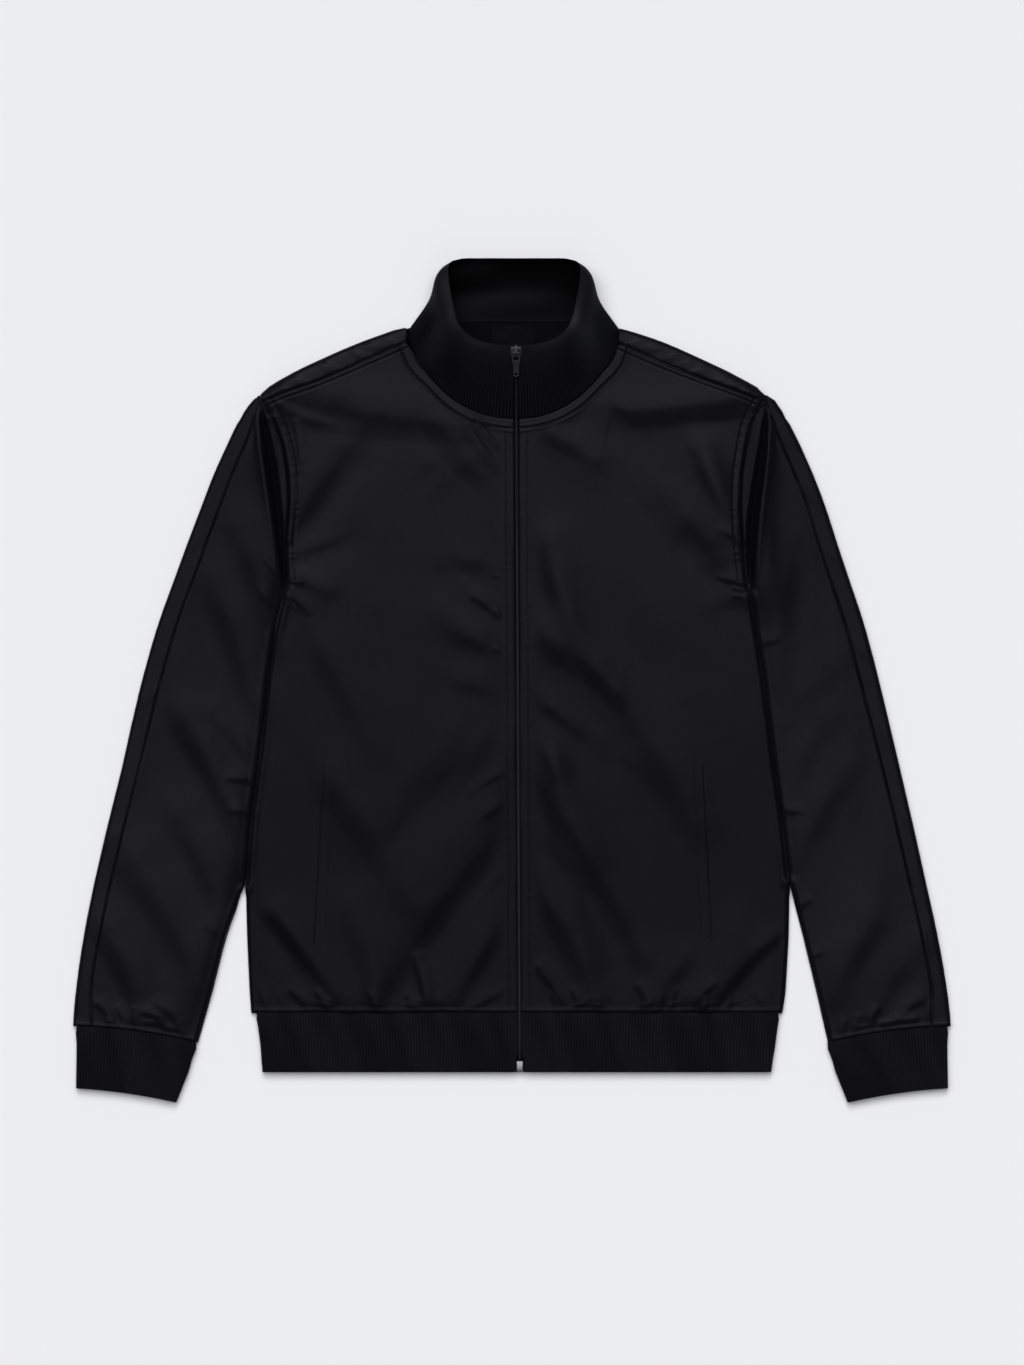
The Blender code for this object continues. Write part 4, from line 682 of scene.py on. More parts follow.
    Crease(122.0, 310.0, 143.0, 311.0, 4.0, 0.7, -1.0, 0.45),
    Crease(158.0, 294.0, 170.0, 298.0, 4.0, 0.6, 0.0, 0.45),
    Crease(192.0, 279.0, 204.0, 281.0, 3.6, 0.5, 0.0, 0.45),
)

# Tucks beside the armholes, with the columns along, across and half width
TUCKS = (
    Tuck(Side.RIGHT, (
        (92.0, -211.5, 2.8),
        (100.0, -212.0, 3.4),
        (120.0, -213.8, 4.0),
        (140.0, -216.0, 4.8),
        (160.0, -218.6, 5.6),
        (180.0, -221.2, 6.2),
        (200.0, -224.0, 6.6),
        (220.0, -227.4, 5.8),
        (240.0, -230.8, 4.2),
        (250.0, -232.6, 2.4),
    )),
    Tuck(Side.LEFT, (
        (90.0, 221.2, 3.4),
        (96.0, 221.4, 4.0),
        (118.0, 221.8, 4.9),
        (137.0, 222.7, 5.4),
        (156.0, 224.2, 5.9),
        (183.0, 228.0, 5.9),
        (211.0, 232.0, 5.2),
        (230.0, 234.3, 4.0),
        (250.0, 236.2, 2.0),
    )),
)

# Creases of the under side, which only lift off what the jacket lies on
UNDER_CREASES = (
    Crease(-226.0, 60.0, -120.0, 4.0, 12.0, 2.0, 8.0),
    Crease(-232.0, -20.0, -96.0, -96.0, 14.0, 2.2, -9.0),
    Crease(-236.0, -140.0, -120.0, -246.0, 13.0, 2.1, 8.0),
    Crease(228.0, 72.0, 132.0, 30.0, 11.0, 1.8, -6.0),
    Crease(236.0, -36.0, 110.0, -88.0, 14.0, 2.2, 8.0),
    Crease(244.0, -150.0, 140.0, -262.0, 13.0, 2.0, -8.0),
    Crease(-60.0, 250.0, -92.0, 150.0, 13.0, 1.8, 7.0),
    Crease(70.0, 256.0, 104.0, 140.0, 14.0, 1.9, -8.0),
    Crease(-30.0, 120.0, 40.0, 24.0, 15.0, 1.7, 10.0),
    Crease(10.0, -40.0, -50.0, -160.0, 14.0, 1.9, 9.0),
    Crease(60.0, -130.0, 20.0, -250.0, 13.0, 1.8, -7.0),
    Crease(-190.0, -306.0, -176.0, -262.0, 5.0, 1.5),
    Crease(-150.0, -306.0, -143.0, -274.0, 4.2, 1.3),
    Crease(-104.0, -306.0, -110.0, -258.0, 5.0, 1.5),
    Crease(-58.0, -306.0, -52.0, -276.0, 4.0, 1.2),
    Crease(-12.0, -306.0, -16.0, -266.0, 4.6, 1.4),
    Crease(36.0, -306.0, 42.0, -272.0, 4.2, 1.3),
    Crease(84.0, -306.0, 78.0, -262.0, 5.0, 1.5),
    Crease(128.0, -306.0, 134.0, -276.0, 4.0, 1.2),
    Crease(176.0, -306.0, 166.0, -264.0, 5.0, 1.5),
    Crease(218.0, -306.0, 212.0, -278.0, 4.0, 1.2),
    Crease(-300.0, 62.0, -262.0, -70.0, 12.0, 1.9, 7.0),
    Crease(-330.0, -70.0, -286.0, -190.0, 12.0, 1.8, -6.0),
    Crease(-382.0, -190.0, -326.0, -306.0, 12.0, 2.0, 7.0),
    Crease(-352.0, -326.0, -346.0, -292.0, 4.4, 1.4),
    Crease(-318.0, -330.0, -312.0, -300.0, 4.0, 1.3),
    Crease(296.0, 70.0, 270.0, -60.0, 12.0, 1.9, -7.0),
    Crease(328.0, -60.0, 290.0, -180.0, 12.0, 1.8, 6.0),
    Crease(378.0, -180.0, 322.0, -300.0, 12.0, 2.0, -7.0),
    Crease(350.0, -326.0, 344.0, -294.0, 4.4, 1.4),
    Crease(318.0, -330.0, 314.0, -302.0, 4.0, 1.3),
)


def slow_waves(plan: np.ndarray) -> np.ndarray:
    """Faint unevenness that cloth keeps even where it is smoothed flat, at plan points.

    Args:
        plan: The points.

    Returns:
        The rise at each point.
    """
    x, y = plan.T
    return (
        0.16 * np.sin(x / 17.0 + 0.6 * np.sin(y / 31.0)) * np.sin(y / 43.0 + 1.0)
        + 0.13 * np.sin((x + 0.7 * y) / 13.0 + np.sin(y / 57.0)) * np.sin((x - y) / 37.0)
        + 0.03 * np.sin((x - 1.6 * y) / 7.1 + 3.0 * np.sin(x / 41.0)) * np.sin(x / 29.0 + y / 23.0)
    )


# Finishes -----------------------------------------------------------------------------------------


def linear(colour: str) -> tuple[float, float, float, float]:
    """Turns an sRGB hex colour to linear light.

    Args:
        colour: Six hex digits.

    Returns:
        Red, green, blue and full opacity.
    """
    parts = [int(colour[place : place + 2], 16) / 255.0 for place in (0, 2, 4)]
    light = [part / 12.92 if part <= 0.04045 else ((part + 0.055) / 1.055) ** 2.4 for part in parts]
    return (*light, 1.0)


def add_node(tree: bpy.types.NodeTree, kind: str, settings: dict, links: dict) -> bpy.types.Node:
    """Adds one node to a tree.

    Args:
        tree: The tree that gets the node.
        kind: The node's type.
        settings: Values by property name, or by socket name for unlinked sockets.
        links: Output sockets by the name or number of the input that each one feeds.

    Returns:
        The new node.
    """
    node = tree.nodes.new(kind)
    for name, value in settings.items():
        if isinstance(name, str) and hasattr(node, name):
            setattr(node, name, value)
        else:
            node.inputs[name].default_value = value
    for name, socket in links.items():
        tree.links.new(socket, node.inputs[name])
    return node


def wave_scale(pitch: float) -> float:
    """Scale of a wave texture whose bands are a pitch in millimetres apart."""
    return math.tau / (20.0 * pitch * MM)


def new_material(name: str) -> bpy.types.Material:
    """A new material with an empty node tree.

    Args:
        name: The material's name.

    Returns:
        The material.
    """
    material = bpy.data.materials.new(name)
    material.use_nodes = True
    material.node_tree.nodes.clear()
    return material


@dataclass(frozen=True)
class SatinCloth:
    """Polyester satin, woven: a smooth black face with a silky sheen and a trace of its long warp floats.

    Attributes:
        name: The material's name.
        turn: Angle of the warp from the jacket's length, in degrees.
        shade: Base colour.
        lighter: Colour of the faint lighter patches.
        glint: Tint of its highlights.
        gloss: How much light it throws back.
        painted_sheen_grade: Share by which a painted sheen makes the chest throw back more light than the
            cloth above the hem.
        float_pitch: Distance between two warp floats.
        roughness: How wide its highlights spread.
    """

    name: str
    turn: float = 0.0
    shade: str = "09090b"
    lighter: str = "0c0c0f"
    glint: str = "e6dff1"
    gloss: float = 0.0555
    painted_sheen_grade: float = 0.46
    float_pitch: float = 1.1  # the real floats are 0.25 mm apart, drawn coarser so that they show
    roughness: float = 0.36

    def make(self) -> bpy.types.Material:
        """Builds the material.

        Returns:
            The material.
        """
        material = new_material(self.name)
        tree = material.node_tree
        place = add_node(tree, "ShaderNodeTexCoord", {}, {})
        turned = add_node(
            tree, "ShaderNodeMapping", {"Rotation": (0.0, 0.0, math.radians(self.turn))},
            {"Vector": place.outputs["Object"]},
        )
        streaked = add_node(
            tree, "ShaderNodeMapping", {"Scale": (1.0, 0.12, 1.0)}, {"Vector": turned.outputs["Vector"]}
        )
        floats = add_node(
            tree, "ShaderNodeTexNoise",
            {"Scale": 1.0 / (self.float_pitch * MM), "Detail": 2.0, "Roughness": 0.6},
            {"Vector": streaked.outputs["Vector"]},
        )
        threads = add_node(
            tree, "ShaderNodeTexWave",
            {
                "bands_direction": "DIAGONAL", "Scale": wave_scale(self.float_pitch),
                "Distortion": 0.6, "Detail": 1.0,
            },
            {"Vector": turned.outputs["Vector"]},
        )
        patches = add_node(
            tree, "ShaderNodeTexNoise", {"Scale": 9.0, "Detail": 2.0}, {"Vector": turned.outputs["Vector"]}
        )
        colour = add_node(
            tree, "ShaderNodeMix", {"data_type": "RGBA"}, {0: patches.outputs["Fac"]}
        )
        colour.inputs[6].default_value = linear(self.shade)
        colour.inputs[7].default_value = linear(self.lighter)
        gloss = add_node(
            tree, "ShaderNodeMapRange",
            {
                "From Min": 0.3, "From Max": 0.7,
                "To Min": self.roughness - 0.05, "To Max": self.roughness + 0.06,
            },
            {"Value": floats.outputs["Fac"]},
        )
        weave = add_node(
            tree, "ShaderNodeMix", {}, {2: floats.outputs["Fac"], 3: threads.outputs["Fac"]}
        )
        weave.inputs[0].default_value = 0.3
        bump = add_node(
            tree, "ShaderNodeBump", {"Strength": 0.25, "Distance": 0.05 * MM}, {"Height": weave.outputs[0]}
        )
        # painted sheen: the specular level is graded along the jacket's length, higher towards the collar
        along = add_node(tree, "ShaderNodeSeparateXYZ", {}, {0: place.outputs["Object"]})
        shine = add_node(
            tree, "ShaderNodeMapRange",
            {
                "From Min": -0.1, "From Max": 0.22, "To Min": self.gloss * (1.0 - self.painted_sheen_grade / 2.0),
                "To Max": self.gloss * (1.0 + self.painted_sheen_grade / 2.0),
            },
            {"Value": along.outputs["Y"]},
        )
        face = add_node(
            tree, "ShaderNodeBsdfPrincipled", {"IOR": 1.5, "Specular Tint": linear(self.glint)},
            {
                "Base Color": colour.outputs[2], "Roughness": gloss.outputs["Result"],
                "Specular IOR Level": shine.outputs["Result"], "Normal": bump.outputs["Normal"],
            },
        )
        add_node(tree, "ShaderNodeOutputMaterial", {}, {"Surface": face.outputs["BSDF"]})
        return material


@dataclass(frozen=True)
class RibKnit:
    """Cotton-rich 1x1 rib, knitted: matt, with small loops up each rib and painted shade in the valleys
    between the ribs.

    The knit's own map counts ribs across and millimetres along them. rib_depth says how much of a rib is left
    where the knit is stretched; a second attribute scales its colour and gloss: at random, and as painted
    light and shade on the collar.

    Attributes:
        name: The material's name.
        crest: Colour along the tops of the ribs.
        painted_valley_shade: Colour between the ribs, a painted shade.
        fuzz: Colour mixed in where the knit turns away from the view, a painted sheen of its loose fibres.
        gloss: How much light it throws back, before the painted light and the random unevenness scale it.
        loop_pitch: Distance between two loops up a rib.
        roughness: How wide its highlights spread.
    """

    name: str = "black_rib_knit"
    crest: str = "121113"
    painted_valley_shade: str = "0d0c0e"
    fuzz: str = "2a282c"
    gloss: float = 0.012
    loop_pitch: float = 1.8  # the real loops are 1 mm apart, drawn coarser so that they show
    roughness: float = 0.86

    def make(self) -> bpy.types.Material:
        """Builds the material.

        Returns:
            The material.
        """
        material = new_material(self.name)
        tree = material.node_tree
        knit = add_node(tree, "ShaderNodeUVMap", {"uv_map": "knit"}, {})
        across = add_node(tree, "ShaderNodeSeparateXYZ", {}, {0: knit.outputs["UV"]})
        phase = add_node(
            tree, "ShaderNodeMath", {"operation": "MULTIPLY", 1: math.tau}, {0: across.outputs["X"]}
        )
        crest = add_node(tree, "ShaderNodeMath", {"operation": "COSINE"}, {0: phase.outputs[0]})
        up = add_node(
            tree, "ShaderNodeMath", {"operation": "MULTIPLY", 1: math.tau / self.loop_pitch},
            {0: across.outputs["Y"]},
        )
        slant = add_node(tree, "ShaderNodeMath", {"operation": "ABSOLUTE"}, {0: crest.outputs[0]})
        loops_at = add_node(
            tree, "ShaderNodeMath", {"operation": "MULTIPLY_ADD", 1: 2.4},
            {0: slant.outputs[0], 2: up.outputs[0]},
        )
        loops = add_node(tree, "ShaderNodeMath", {"operation": "SINE"}, {0: loops_at.outputs[0]})
        place = add_node(tree, "ShaderNodeTexCoord", {}, {})
        fuzz = add_node(
            tree, "ShaderNodeTexNoise", {"Scale": 1.0 / (1.2 * MM), "Detail": 3.0},
            {"Vector": place.outputs["Object"]},
        )
        height = add_node(
            tree, "ShaderNodeMath", {"operation": "MULTIPLY_ADD", 1: 0.35},
            {0: loops.outputs[0], 2: fuzz.outputs["Fac"]},
        )
        bump = add_node(
            tree, "ShaderNodeBump", {"Strength": 0.5, "Distance": 0.12 * MM}, {"Height": height.outputs[0]}
        )
        left = add_node(tree, "ShaderNodeAttribute", {"attribute_name": "rib_depth"}, {})
        ribbed = add_node(
            tree, "ShaderNodeMath", {"operation": "MULTIPLY"}, {0: crest.outputs[0], 1: left.outputs["Fac"]}
        )
        lit = add_node(
            tree, "ShaderNodeMapRange", {"From Min": -1.0, "From Max": 1.0}, {"Value": ribbed.outputs[0]}
        )
        # painted shade: the colour darkens from the rib's crest into the valley beside it
        colour = add_node(
            tree, "ShaderNodeMix", {"data_type": "RGBA"}, {0: lit.outputs["Result"]}
        )
        colour.inputs[6].default_value = linear(self.painted_valley_shade)
        colour.inputs[7].default_value = linear(self.crest)
        # painted sheen: the colour grows lighter towards fuzz where the knit turns away from the view
        turned_away = add_node(
            tree, "ShaderNodeLayerWeight", {"Blend": 0.35}, {"Normal": bump.outputs["Normal"]}
        )
        painted_rim_sheen = add_node(
            tree, "ShaderNodeMix", {"data_type": "RGBA"},
            {0: turned_away.outputs["Facing"], 6: colour.outputs[2]},
        )
        painted_rim_sheen.inputs[7].default_value = linear(self.fuzz)
        # painted light and painted shade: this attribute scales the base colour and the specular level,
        # lighter and glossier along the collar's rim, darker and duller inside its back; on the bands it
        # varies at random
        nap_and_painted_light = add_node(tree, "ShaderNodeAttribute", {"attribute_name": "nap_and_painted_light"}, {})
        shine = add_node(
            tree, "ShaderNodeMath", {"operation": "MULTIPLY", 1: self.gloss}, {0: nap_and_painted_light.outputs["Fac"]}
        )
        depth = add_node(
            tree, "ShaderNodeMapRange", {"From Min": 0.0, "From Max": 1.4, "To Min": 0.2, "To Max": 1.25},
            {"Value": nap_and_painted_light.outputs["Fac"]},
        )
        shown = add_node(
            tree, "ShaderNodeVectorMath", {"operation": "SCALE"},
            {0: painted_rim_sheen.outputs[2], "Scale": depth.outputs["Result"]},
        )
        face = add_node(
            tree, "ShaderNodeBsdfPrincipled", {"Roughness": self.roughness},
            {
                "Base Color": shown.outputs[0], "Specular IOR Level": shine.outputs[0],
                "Normal": bump.outputs["Normal"],
            },
        )
        add_node(tree, "ShaderNodeOutputMaterial", {}, {"Surface": face.outputs["BSDF"]})
        return material


@dataclass(frozen=True)
class FineWeave:
    """Narrow woven goods, such as zip tape, label and thread: dull black with a fine crossed weave.

    Attributes:
        name: The material's name.
        shade: Base colour.
        lighter: Colour where the threads cross.
        pitch: Distance between two threads.
        roughness: How wide its highlights spread.
        gloss: How much light it throws back.
    """

    name: str
    shade: str = "121214"
    lighter: str = "1b1b1e"
    pitch: float = 0.9  # the real threads are 0.3 mm apart, drawn coarser so that they show
    roughness: float = 0.62
    gloss: float = 0.015

    def make(self) -> bpy.types.Material:
        """Builds the material.

        Returns:
            The material.
        """
        material = new_material(self.name)
        tree = material.node_tree
        place = add_node(tree, "ShaderNodeTexCoord", {}, {})
        waves = [
            add_node(
                tree, "ShaderNodeTexWave", {"bands_direction": way, "Scale": wave_scale(self.pitch)},
                {"Vector": place.outputs["Object"]},
            )
            for way in ("X", "Y")
        ]
        weave = add_node(
            tree, "ShaderNodeMath", {"operation": "MULTIPLY"},
            {0: waves[0].outputs["Fac"], 1: waves[1].outputs["Fac"]},
        )
        colour = add_node(tree, "ShaderNodeMix", {"data_type": "RGBA"}, {0: weave.outputs[0]})
        colour.inputs[6].default_value = linear(self.shade)
        colour.inputs[7].default_value = linear(self.lighter)
        bump = add_node(
            tree, "ShaderNodeBump", {"Strength": 0.4, "Distance": 0.08 * MM}, {"Height": weave.outputs[0]}
        )
        face = add_node(
            tree, "ShaderNodeBsdfPrincipled",
            {"Roughness": self.roughness, "Specular IOR Level": self.gloss},
            {"Base Color": colour.outputs[2], "Normal": bump.outputs["Normal"]},
        )
        add_node(tree, "ShaderNodeOutputMaterial", {}, {"Surface": face.outputs["BSDF"]})
        return material


@dataclass(frozen=True)
class PlatedMetal:
    """Die-cast zinc, barrelled and nickel plated: a soft polish with fine rubbing marks.

    Attributes:
        name: The material's name.
        shade: Colour of the plating.
        worn: Colour where it is rubbed.
        roughness: How wide its highlights spread.
    """

    name: str
    shade: str
    worn: str
    roughness: float = 0.3

    def make(self) -> bpy.types.Material:
        """Builds the material.

        Returns:
            The material.
        """
        material = new_material(self.name)
        tree = material.node_tree
        place = add_node(tree, "ShaderNodeTexCoord", {}, {})
        rubs = add_node(
            tree, "ShaderNodeTexNoise", {"Scale": 1.0 / (1.5 * MM), "Detail": 4.0, "Roughness": 0.65},
            {"Vector": place.outputs["Object"]},
        )
        colour = add_node(tree, "ShaderNodeMix", {"data_type": "RGBA"}, {0: rubs.outputs["Fac"]})
        colour.inputs[6].default_value = linear(self.shade)
        colour.inputs[7].default_value = linear(self.worn)
        gloss = add_node(
            tree, "ShaderNodeMapRange",
            {
                "From Min": 0.3, "From Max": 0.7,
                "To Min": self.roughness - 0.08, "To Max": self.roughness + 0.1,
            },
            {"Value": rubs.outputs["Fac"]},
        )
        bump = add_node(
            tree, "ShaderNodeBump", {"Strength": 0.15, "Distance": 0.03 * MM}, {"Height": rubs.outputs["Fac"]}
        )
        face = add_node(
            tree, "ShaderNodeBsdfPrincipled", {"Metallic": 1.0},
            {
                "Base Color": colour.outputs[2], "Roughness": gloss.outputs["Result"],
                "Normal": bump.outputs["Normal"],
            },
        )
        add_node(tree, "ShaderNodeOutputMaterial", {}, {"Surface": face.outputs["BSDF"]})
        return material


@dataclass(frozen=True)
class PaintedFloor:
    """Matt painted board: a pale cool grey with no pattern that would draw the eye.

    Attributes:
        name: The material's name.
        shade: Base colour.
    """

    name: str = "pale_board"
    shade: str = "dfdfe1"

    def make(self) -> bpy.types.Material:
        """Builds the material.

        Returns:
            The material.
        """
        material = new_material(self.name)
        tree = material.node_tree
        place = add_node(tree, "ShaderNodeTexCoord", {}, {})
        grain = add_node(
            tree, "ShaderNodeTexNoise", {"Scale": 400.0, "Detail": 2.0}, {"Vector": place.outputs["Object"]}
        )
        bump = add_node(
            tree, "ShaderNodeBump", {"Strength": 0.05, "Distance": 0.1 * MM}, {"Height": grain.outputs["Fac"]}
        )
        face = add_node(
            tree, "ShaderNodeBsdfPrincipled",
            {"Base Color": linear(self.shade), "Roughness": 0.9, "Specular IOR Level": 0.1},
            {"Normal": bump.outputs["Normal"]},
        )
        add_node(tree, "ShaderNodeOutputMaterial", {}, {"Surface": face.outputs["BSDF"]})
        return material


# Making and joining meshes ------------------------------------------------------------------------


def merged_copy(node: str) -> bmesh.types.BMesh:
    """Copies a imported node's mesh with its loose triangles joined up again.

    Args:
        node: The node's name.

    Returns:
        The copy, in four-sided faces where it can be.
    """
    shape = bmesh.new()
    shape.from_mesh(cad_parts[node].data)
    bmesh.ops.remove_doubles(shape, verts=shape.verts[:], dist=0.01 * MM)
    bmesh.ops.join_triangles(
        shape, faces=shape.faces[:], angle_face_threshold=math.radians(35.0),
        angle_shape_threshold=math.radians(60.0),
    )
    return shape


def new_piece(
    name: str, shape: bmesh.types.BMesh, material: bpy.types.Material, sharp: float = 50.0
) -> bpy.types.Object:
    """Turns a finished shape to an object of the scene.

    Args:
        name: The object's name.
        shape: The shape, which is freed.
        material: What it is made of.
        sharp: Edges that bend more than this many degrees stay crisp.

    Returns:
        The new object.
    """
    mesh = bpy.data.meshes.new(name)
    shape.to_mesh(mesh)
    shape.free()
    mesh.materials.append(material)
    mesh.polygons.foreach_set("use_smooth", [True] * len(mesh.polygons))
    mesh.set_sharp_from_angle(angle=math.radians(sharp))
    piece = bpy.data.objects.new(name, mesh)
    bpy.context.scene.collection.objects.link(piece)
    return piece


def put_on(piece: bpy.types.Object, slot: str, *nodes: str, body: str = "jacket") -> None:
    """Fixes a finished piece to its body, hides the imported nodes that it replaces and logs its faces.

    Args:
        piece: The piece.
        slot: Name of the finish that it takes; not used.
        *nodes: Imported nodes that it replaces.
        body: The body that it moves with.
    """
    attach(piece, body)
    if nodes:
        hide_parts(*nodes)
    LOG.info("%s: %d faces", piece.name, len(piece.data.polygons))


def rounded_by_halves(shape: bmesh.types.BMesh, rounds: int) -> bmesh.types.BMesh:
    """Rounds a coarse cloth wall by dividing its faces, and keeps its cut edges crisp.

    Args:
        shape: The coarse wall, which is freed.
        rounds: How often each face is divided.

    Returns:
        The rounded wall.
    """
    layer = shape.edges.layers.float.new("crease_edge")
    for edge in shape.edges:
        if edge.is_manifold and edge.calc_face_angle() > math.radians(52.0):
            edge[layer] = 1.0
    mesh = bpy.data.meshes.new("coarse")
    shape.to_mesh(mesh)
    shape.free()
    carrier = bpy.data.objects.new("coarse", mesh)
    bpy.context.scene.collection.objects.link(carrier)
    step = carrier.modifiers.new("rounding", "SUBSURF")
    step.levels = step.render_levels = rounds
    fine = bpy.data.meshes.new_from_object(carrier.evaluated_get(bpy.context.evaluated_depsgraph_get()))
    bpy.data.objects.remove(carrier)
    bpy.data.meshes.remove(mesh)
    rounded = bmesh.new()
    rounded.from_mesh(fine)
    bpy.data.meshes.remove(fine)
    return rounded


def places_of(shape: bmesh.types.BMesh) -> np.ndarray:
    """Every vertex's place in millimetres."""
    return np.array([vert.co[:] for vert in shape.verts]).reshape(-1, 3) / MM


def drop_on(tree: BVHTree, x: float, y: float) -> tuple[Vector, Vector]:
    """Finds where something laid from above comes to rest.

    Args:
        tree: The surface that it falls on.
        x: Place across, in millimetres.
        y: Place along, in millimetres.

    Returns:
        The point on the surface in metres, and the surface's direction there.
    """
    point, normal, _, _ = tree.ray_cast(Vector((x * MM, y * MM, 0.08)), Vector((0.0, 0.0, -1.0)))
    if point is None:
        point, normal, _, _ = tree.find_nearest(Vector((x * MM, y * MM, 7.0 * MM)))
    return point, normal if normal.z > 0.0 else -normal


# Cloth of the body and sleeves --------------------------------------------------------------------


@dataclass
class SatinPanel:
    """One cut piece of satin, with the folds, seams and stitch rows that cross it.

    Attributes:
        node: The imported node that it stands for.
        finish: What it is made of.
        flat: Size of the cloth that it is cut from, in metres.
        area: Area of the cut piece, in square metres.
        rounds: How often the coarse wall's faces are divided.
        coarsest: Longest edge left where the cloth is plain.
        finest: Longest edge left beside seams and stitch rows.
        meet: How far the edges move out to meet the next piece.
        under: Whether part of it lies underneath.
    """

    node: str
    finish: SatinCloth
    flat: tuple[float, float]
    area: float
    rounds: int = 2
    coarsest: float = 5.5
    finest: float = 0.9
    meet: float = 0.4
    under: bool = False

    def build(
        self, seams: list[Seam], rows: list[Topstitch], reverse_and_tuck_shade: bpy.types.Material
    ) -> bpy.types.Object:
        """Makes the panel and fixes it to the jacket.

        Args:
            seams: Seams of the upper side.
            rows: Rows of stitches of the upper side.
            reverse_and_tuck_shade: The dull reverse of the cloth, also laid on the tuck floors as painted
                shade.

        Returns:
            The panel.
        """
        shape = rounded_by_halves(merged_copy(self.node), self.rounds)
        self.fill_out(shape)
        lines = [seam.line() for seam in seams] + [row.line() for row in rows]
        for _ in range(3):
            self.divide(shape, lines)
        self.crease(shape, seams, rows)
        for across, along, reach in RESTLESS:
            spot = Vector((across * MM, along * MM))
            calmed = [
                v for v in shape.verts if (v.co.xy - spot).length < reach * MM and abs(v.normal.z) > 0.8
            ]
            for _ in range(30 if calmed else 0):
                bmesh.ops.smooth_vert(shape, verts=calmed, factor=0.5, use_axis_z=True)
        self.give_reverse_and_tuck_shade(shape)
        piece = new_piece(self.node + "_cloth", shape, self.finish.make())
        piece.data.materials.append(reverse_and_tuck_shade)
        put_on(piece, "satin_cloth", self.node)
        return piece

    def fill_out(self, shape: bmesh.types.BMesh) -> None:
        """Brings rolled edges back out to their full size, so that neighbours meet at the seams.

        Args:
            shape: The panel's wall.
        """
        coarse = merged_copy(self.node)
        tree = BVHTree.FromBMesh(coarse)
        coarse.free()
        shape.normal_update()
        for vert in shape.verts:
            steep = min(1.0, max(0.0, (0.75 - abs(vert.normal.z)) / 0.25))
            if steep > 0.0:
                aim = tree.find_nearest(vert.co)[0]
                x, y = abs(vert.co.x) / MM, vert.co.y / MM
                beside_sleeve = 200.0 < x < 264.0 and -196.0 < y < 120.0
                at_neck = x < 104.0 and y > 322.0
                reach = self.meet + (0.8 if beside_sleeve else 1.6 if at_neck else 0.0)
                out = Vector((vert.normal.x, vert.normal.y, 0.0)).normalized() * reach * MM
                vert.co = vert.co.lerp(Vector((aim.x, aim.y, vert.co.z)) + out, steep)
                for corner in OPEN_CORNERS:
                    away = math.hypot(x - corner[0], y - corner[1])
                    aim = Vector((math.copysign(corner[0], vert.co.x) * MM, corner[1] * MM, vert.co.z))
                    vert.co = vert.co.lerp(aim, 0.75 * steep * min(1.0, max(0.0, (9.0 - away) / 4.0)))

    def give_reverse_and_tuck_shade(self, shape: bmesh.types.BMesh) -> None:
        """Gives the cloth's inner face the second finish, its dull reverse, and the floors of the tucks the
        same as painted shade.

        Args:
            shape: The panel's wall.
        """
        shape.normal_update()
        shape.faces.ensure_lookup_table()
        middle = LAYER_MIDDLE * MM
        for face in shape.faces:
            centre = face.calc_center_median()
            inward = face.normal.z < 0.0 if centre.z > middle or not self.under else face.normal.z > 0.0
            face.material_index = int(inward)
        if not self.under:
            # painted shade: the floors of the tucks take the dull, darker reverse
            plan = np.array([face.calc_center_median().xy[:] for face in shape.faces]) / MM
            for tuck in TUCKS:
                aside, half = tuck.aside(plan)
                inside = (plan[:, 1] > tuck.places[0][0]) & (plan[:, 1] < tuck.places[-1][0])
                for index in np.nonzero(inside & (np.abs(aside) < TUCK_PAINTED_SHADE * half))[0]:
                    shape.faces[int(index)].material_index = 1

    def divide(self, shape: bmesh.types.BMesh, lines: list[np.ndarray]) -> None:
        """Divides long edges, more finely on the outer face beside the sewing.

        Args:
            shape: The panel's wall.
            lines: Lines of seams and stitch rows.
        """
        places = places_of(shape)
        shape.normal_update()
        faces_up = np.array([vert.normal.z for vert in shape.verts]) > 0.25
        if self.under:
            faces_up &= places[:, 2] > 4.0
        away = np.full(len(places), 1e6)
        for line in lines:
            away = np.minimum(away, from_line(line, places[:, :2], 8.0)[0])
        limit = np.where(away < 1.9, self.finest, np.where(away < 3.6, 2.0 * self.finest, self.coarsest))
        for fold in FINE_CREASES:
            if fold.width < 5.0:
                near = from_line(fold.line(), places[:, :2], 14.0)[0] < 2.0 * fold.width
                limit[near] = np.minimum(limit[near], 2.2 * self.finest)
        if not self.under:
            for tuck in TUCKS:
                near = tuck.near(places[:, :2])
                limit[near] = np.minimum(limit[near], 1.6 * self.finest)
        ends = np.array([[vert.index for vert in edge.verts] for edge in shape.edges])
        length = np.linalg.norm(places[ends[:, 0]] - places[ends[:, 1]], axis=1)
        limit = np.where(faces_up[ends].all(axis=1), limit[ends].min(axis=1), self.coarsest)
        long = [edge for edge, chosen in zip(shape.edges, length > limit) if chosen]
        bmesh.ops.subdivide_edges(shape, edges=long, cuts=1, use_grid_fill=True)
        shape.verts.index_update()

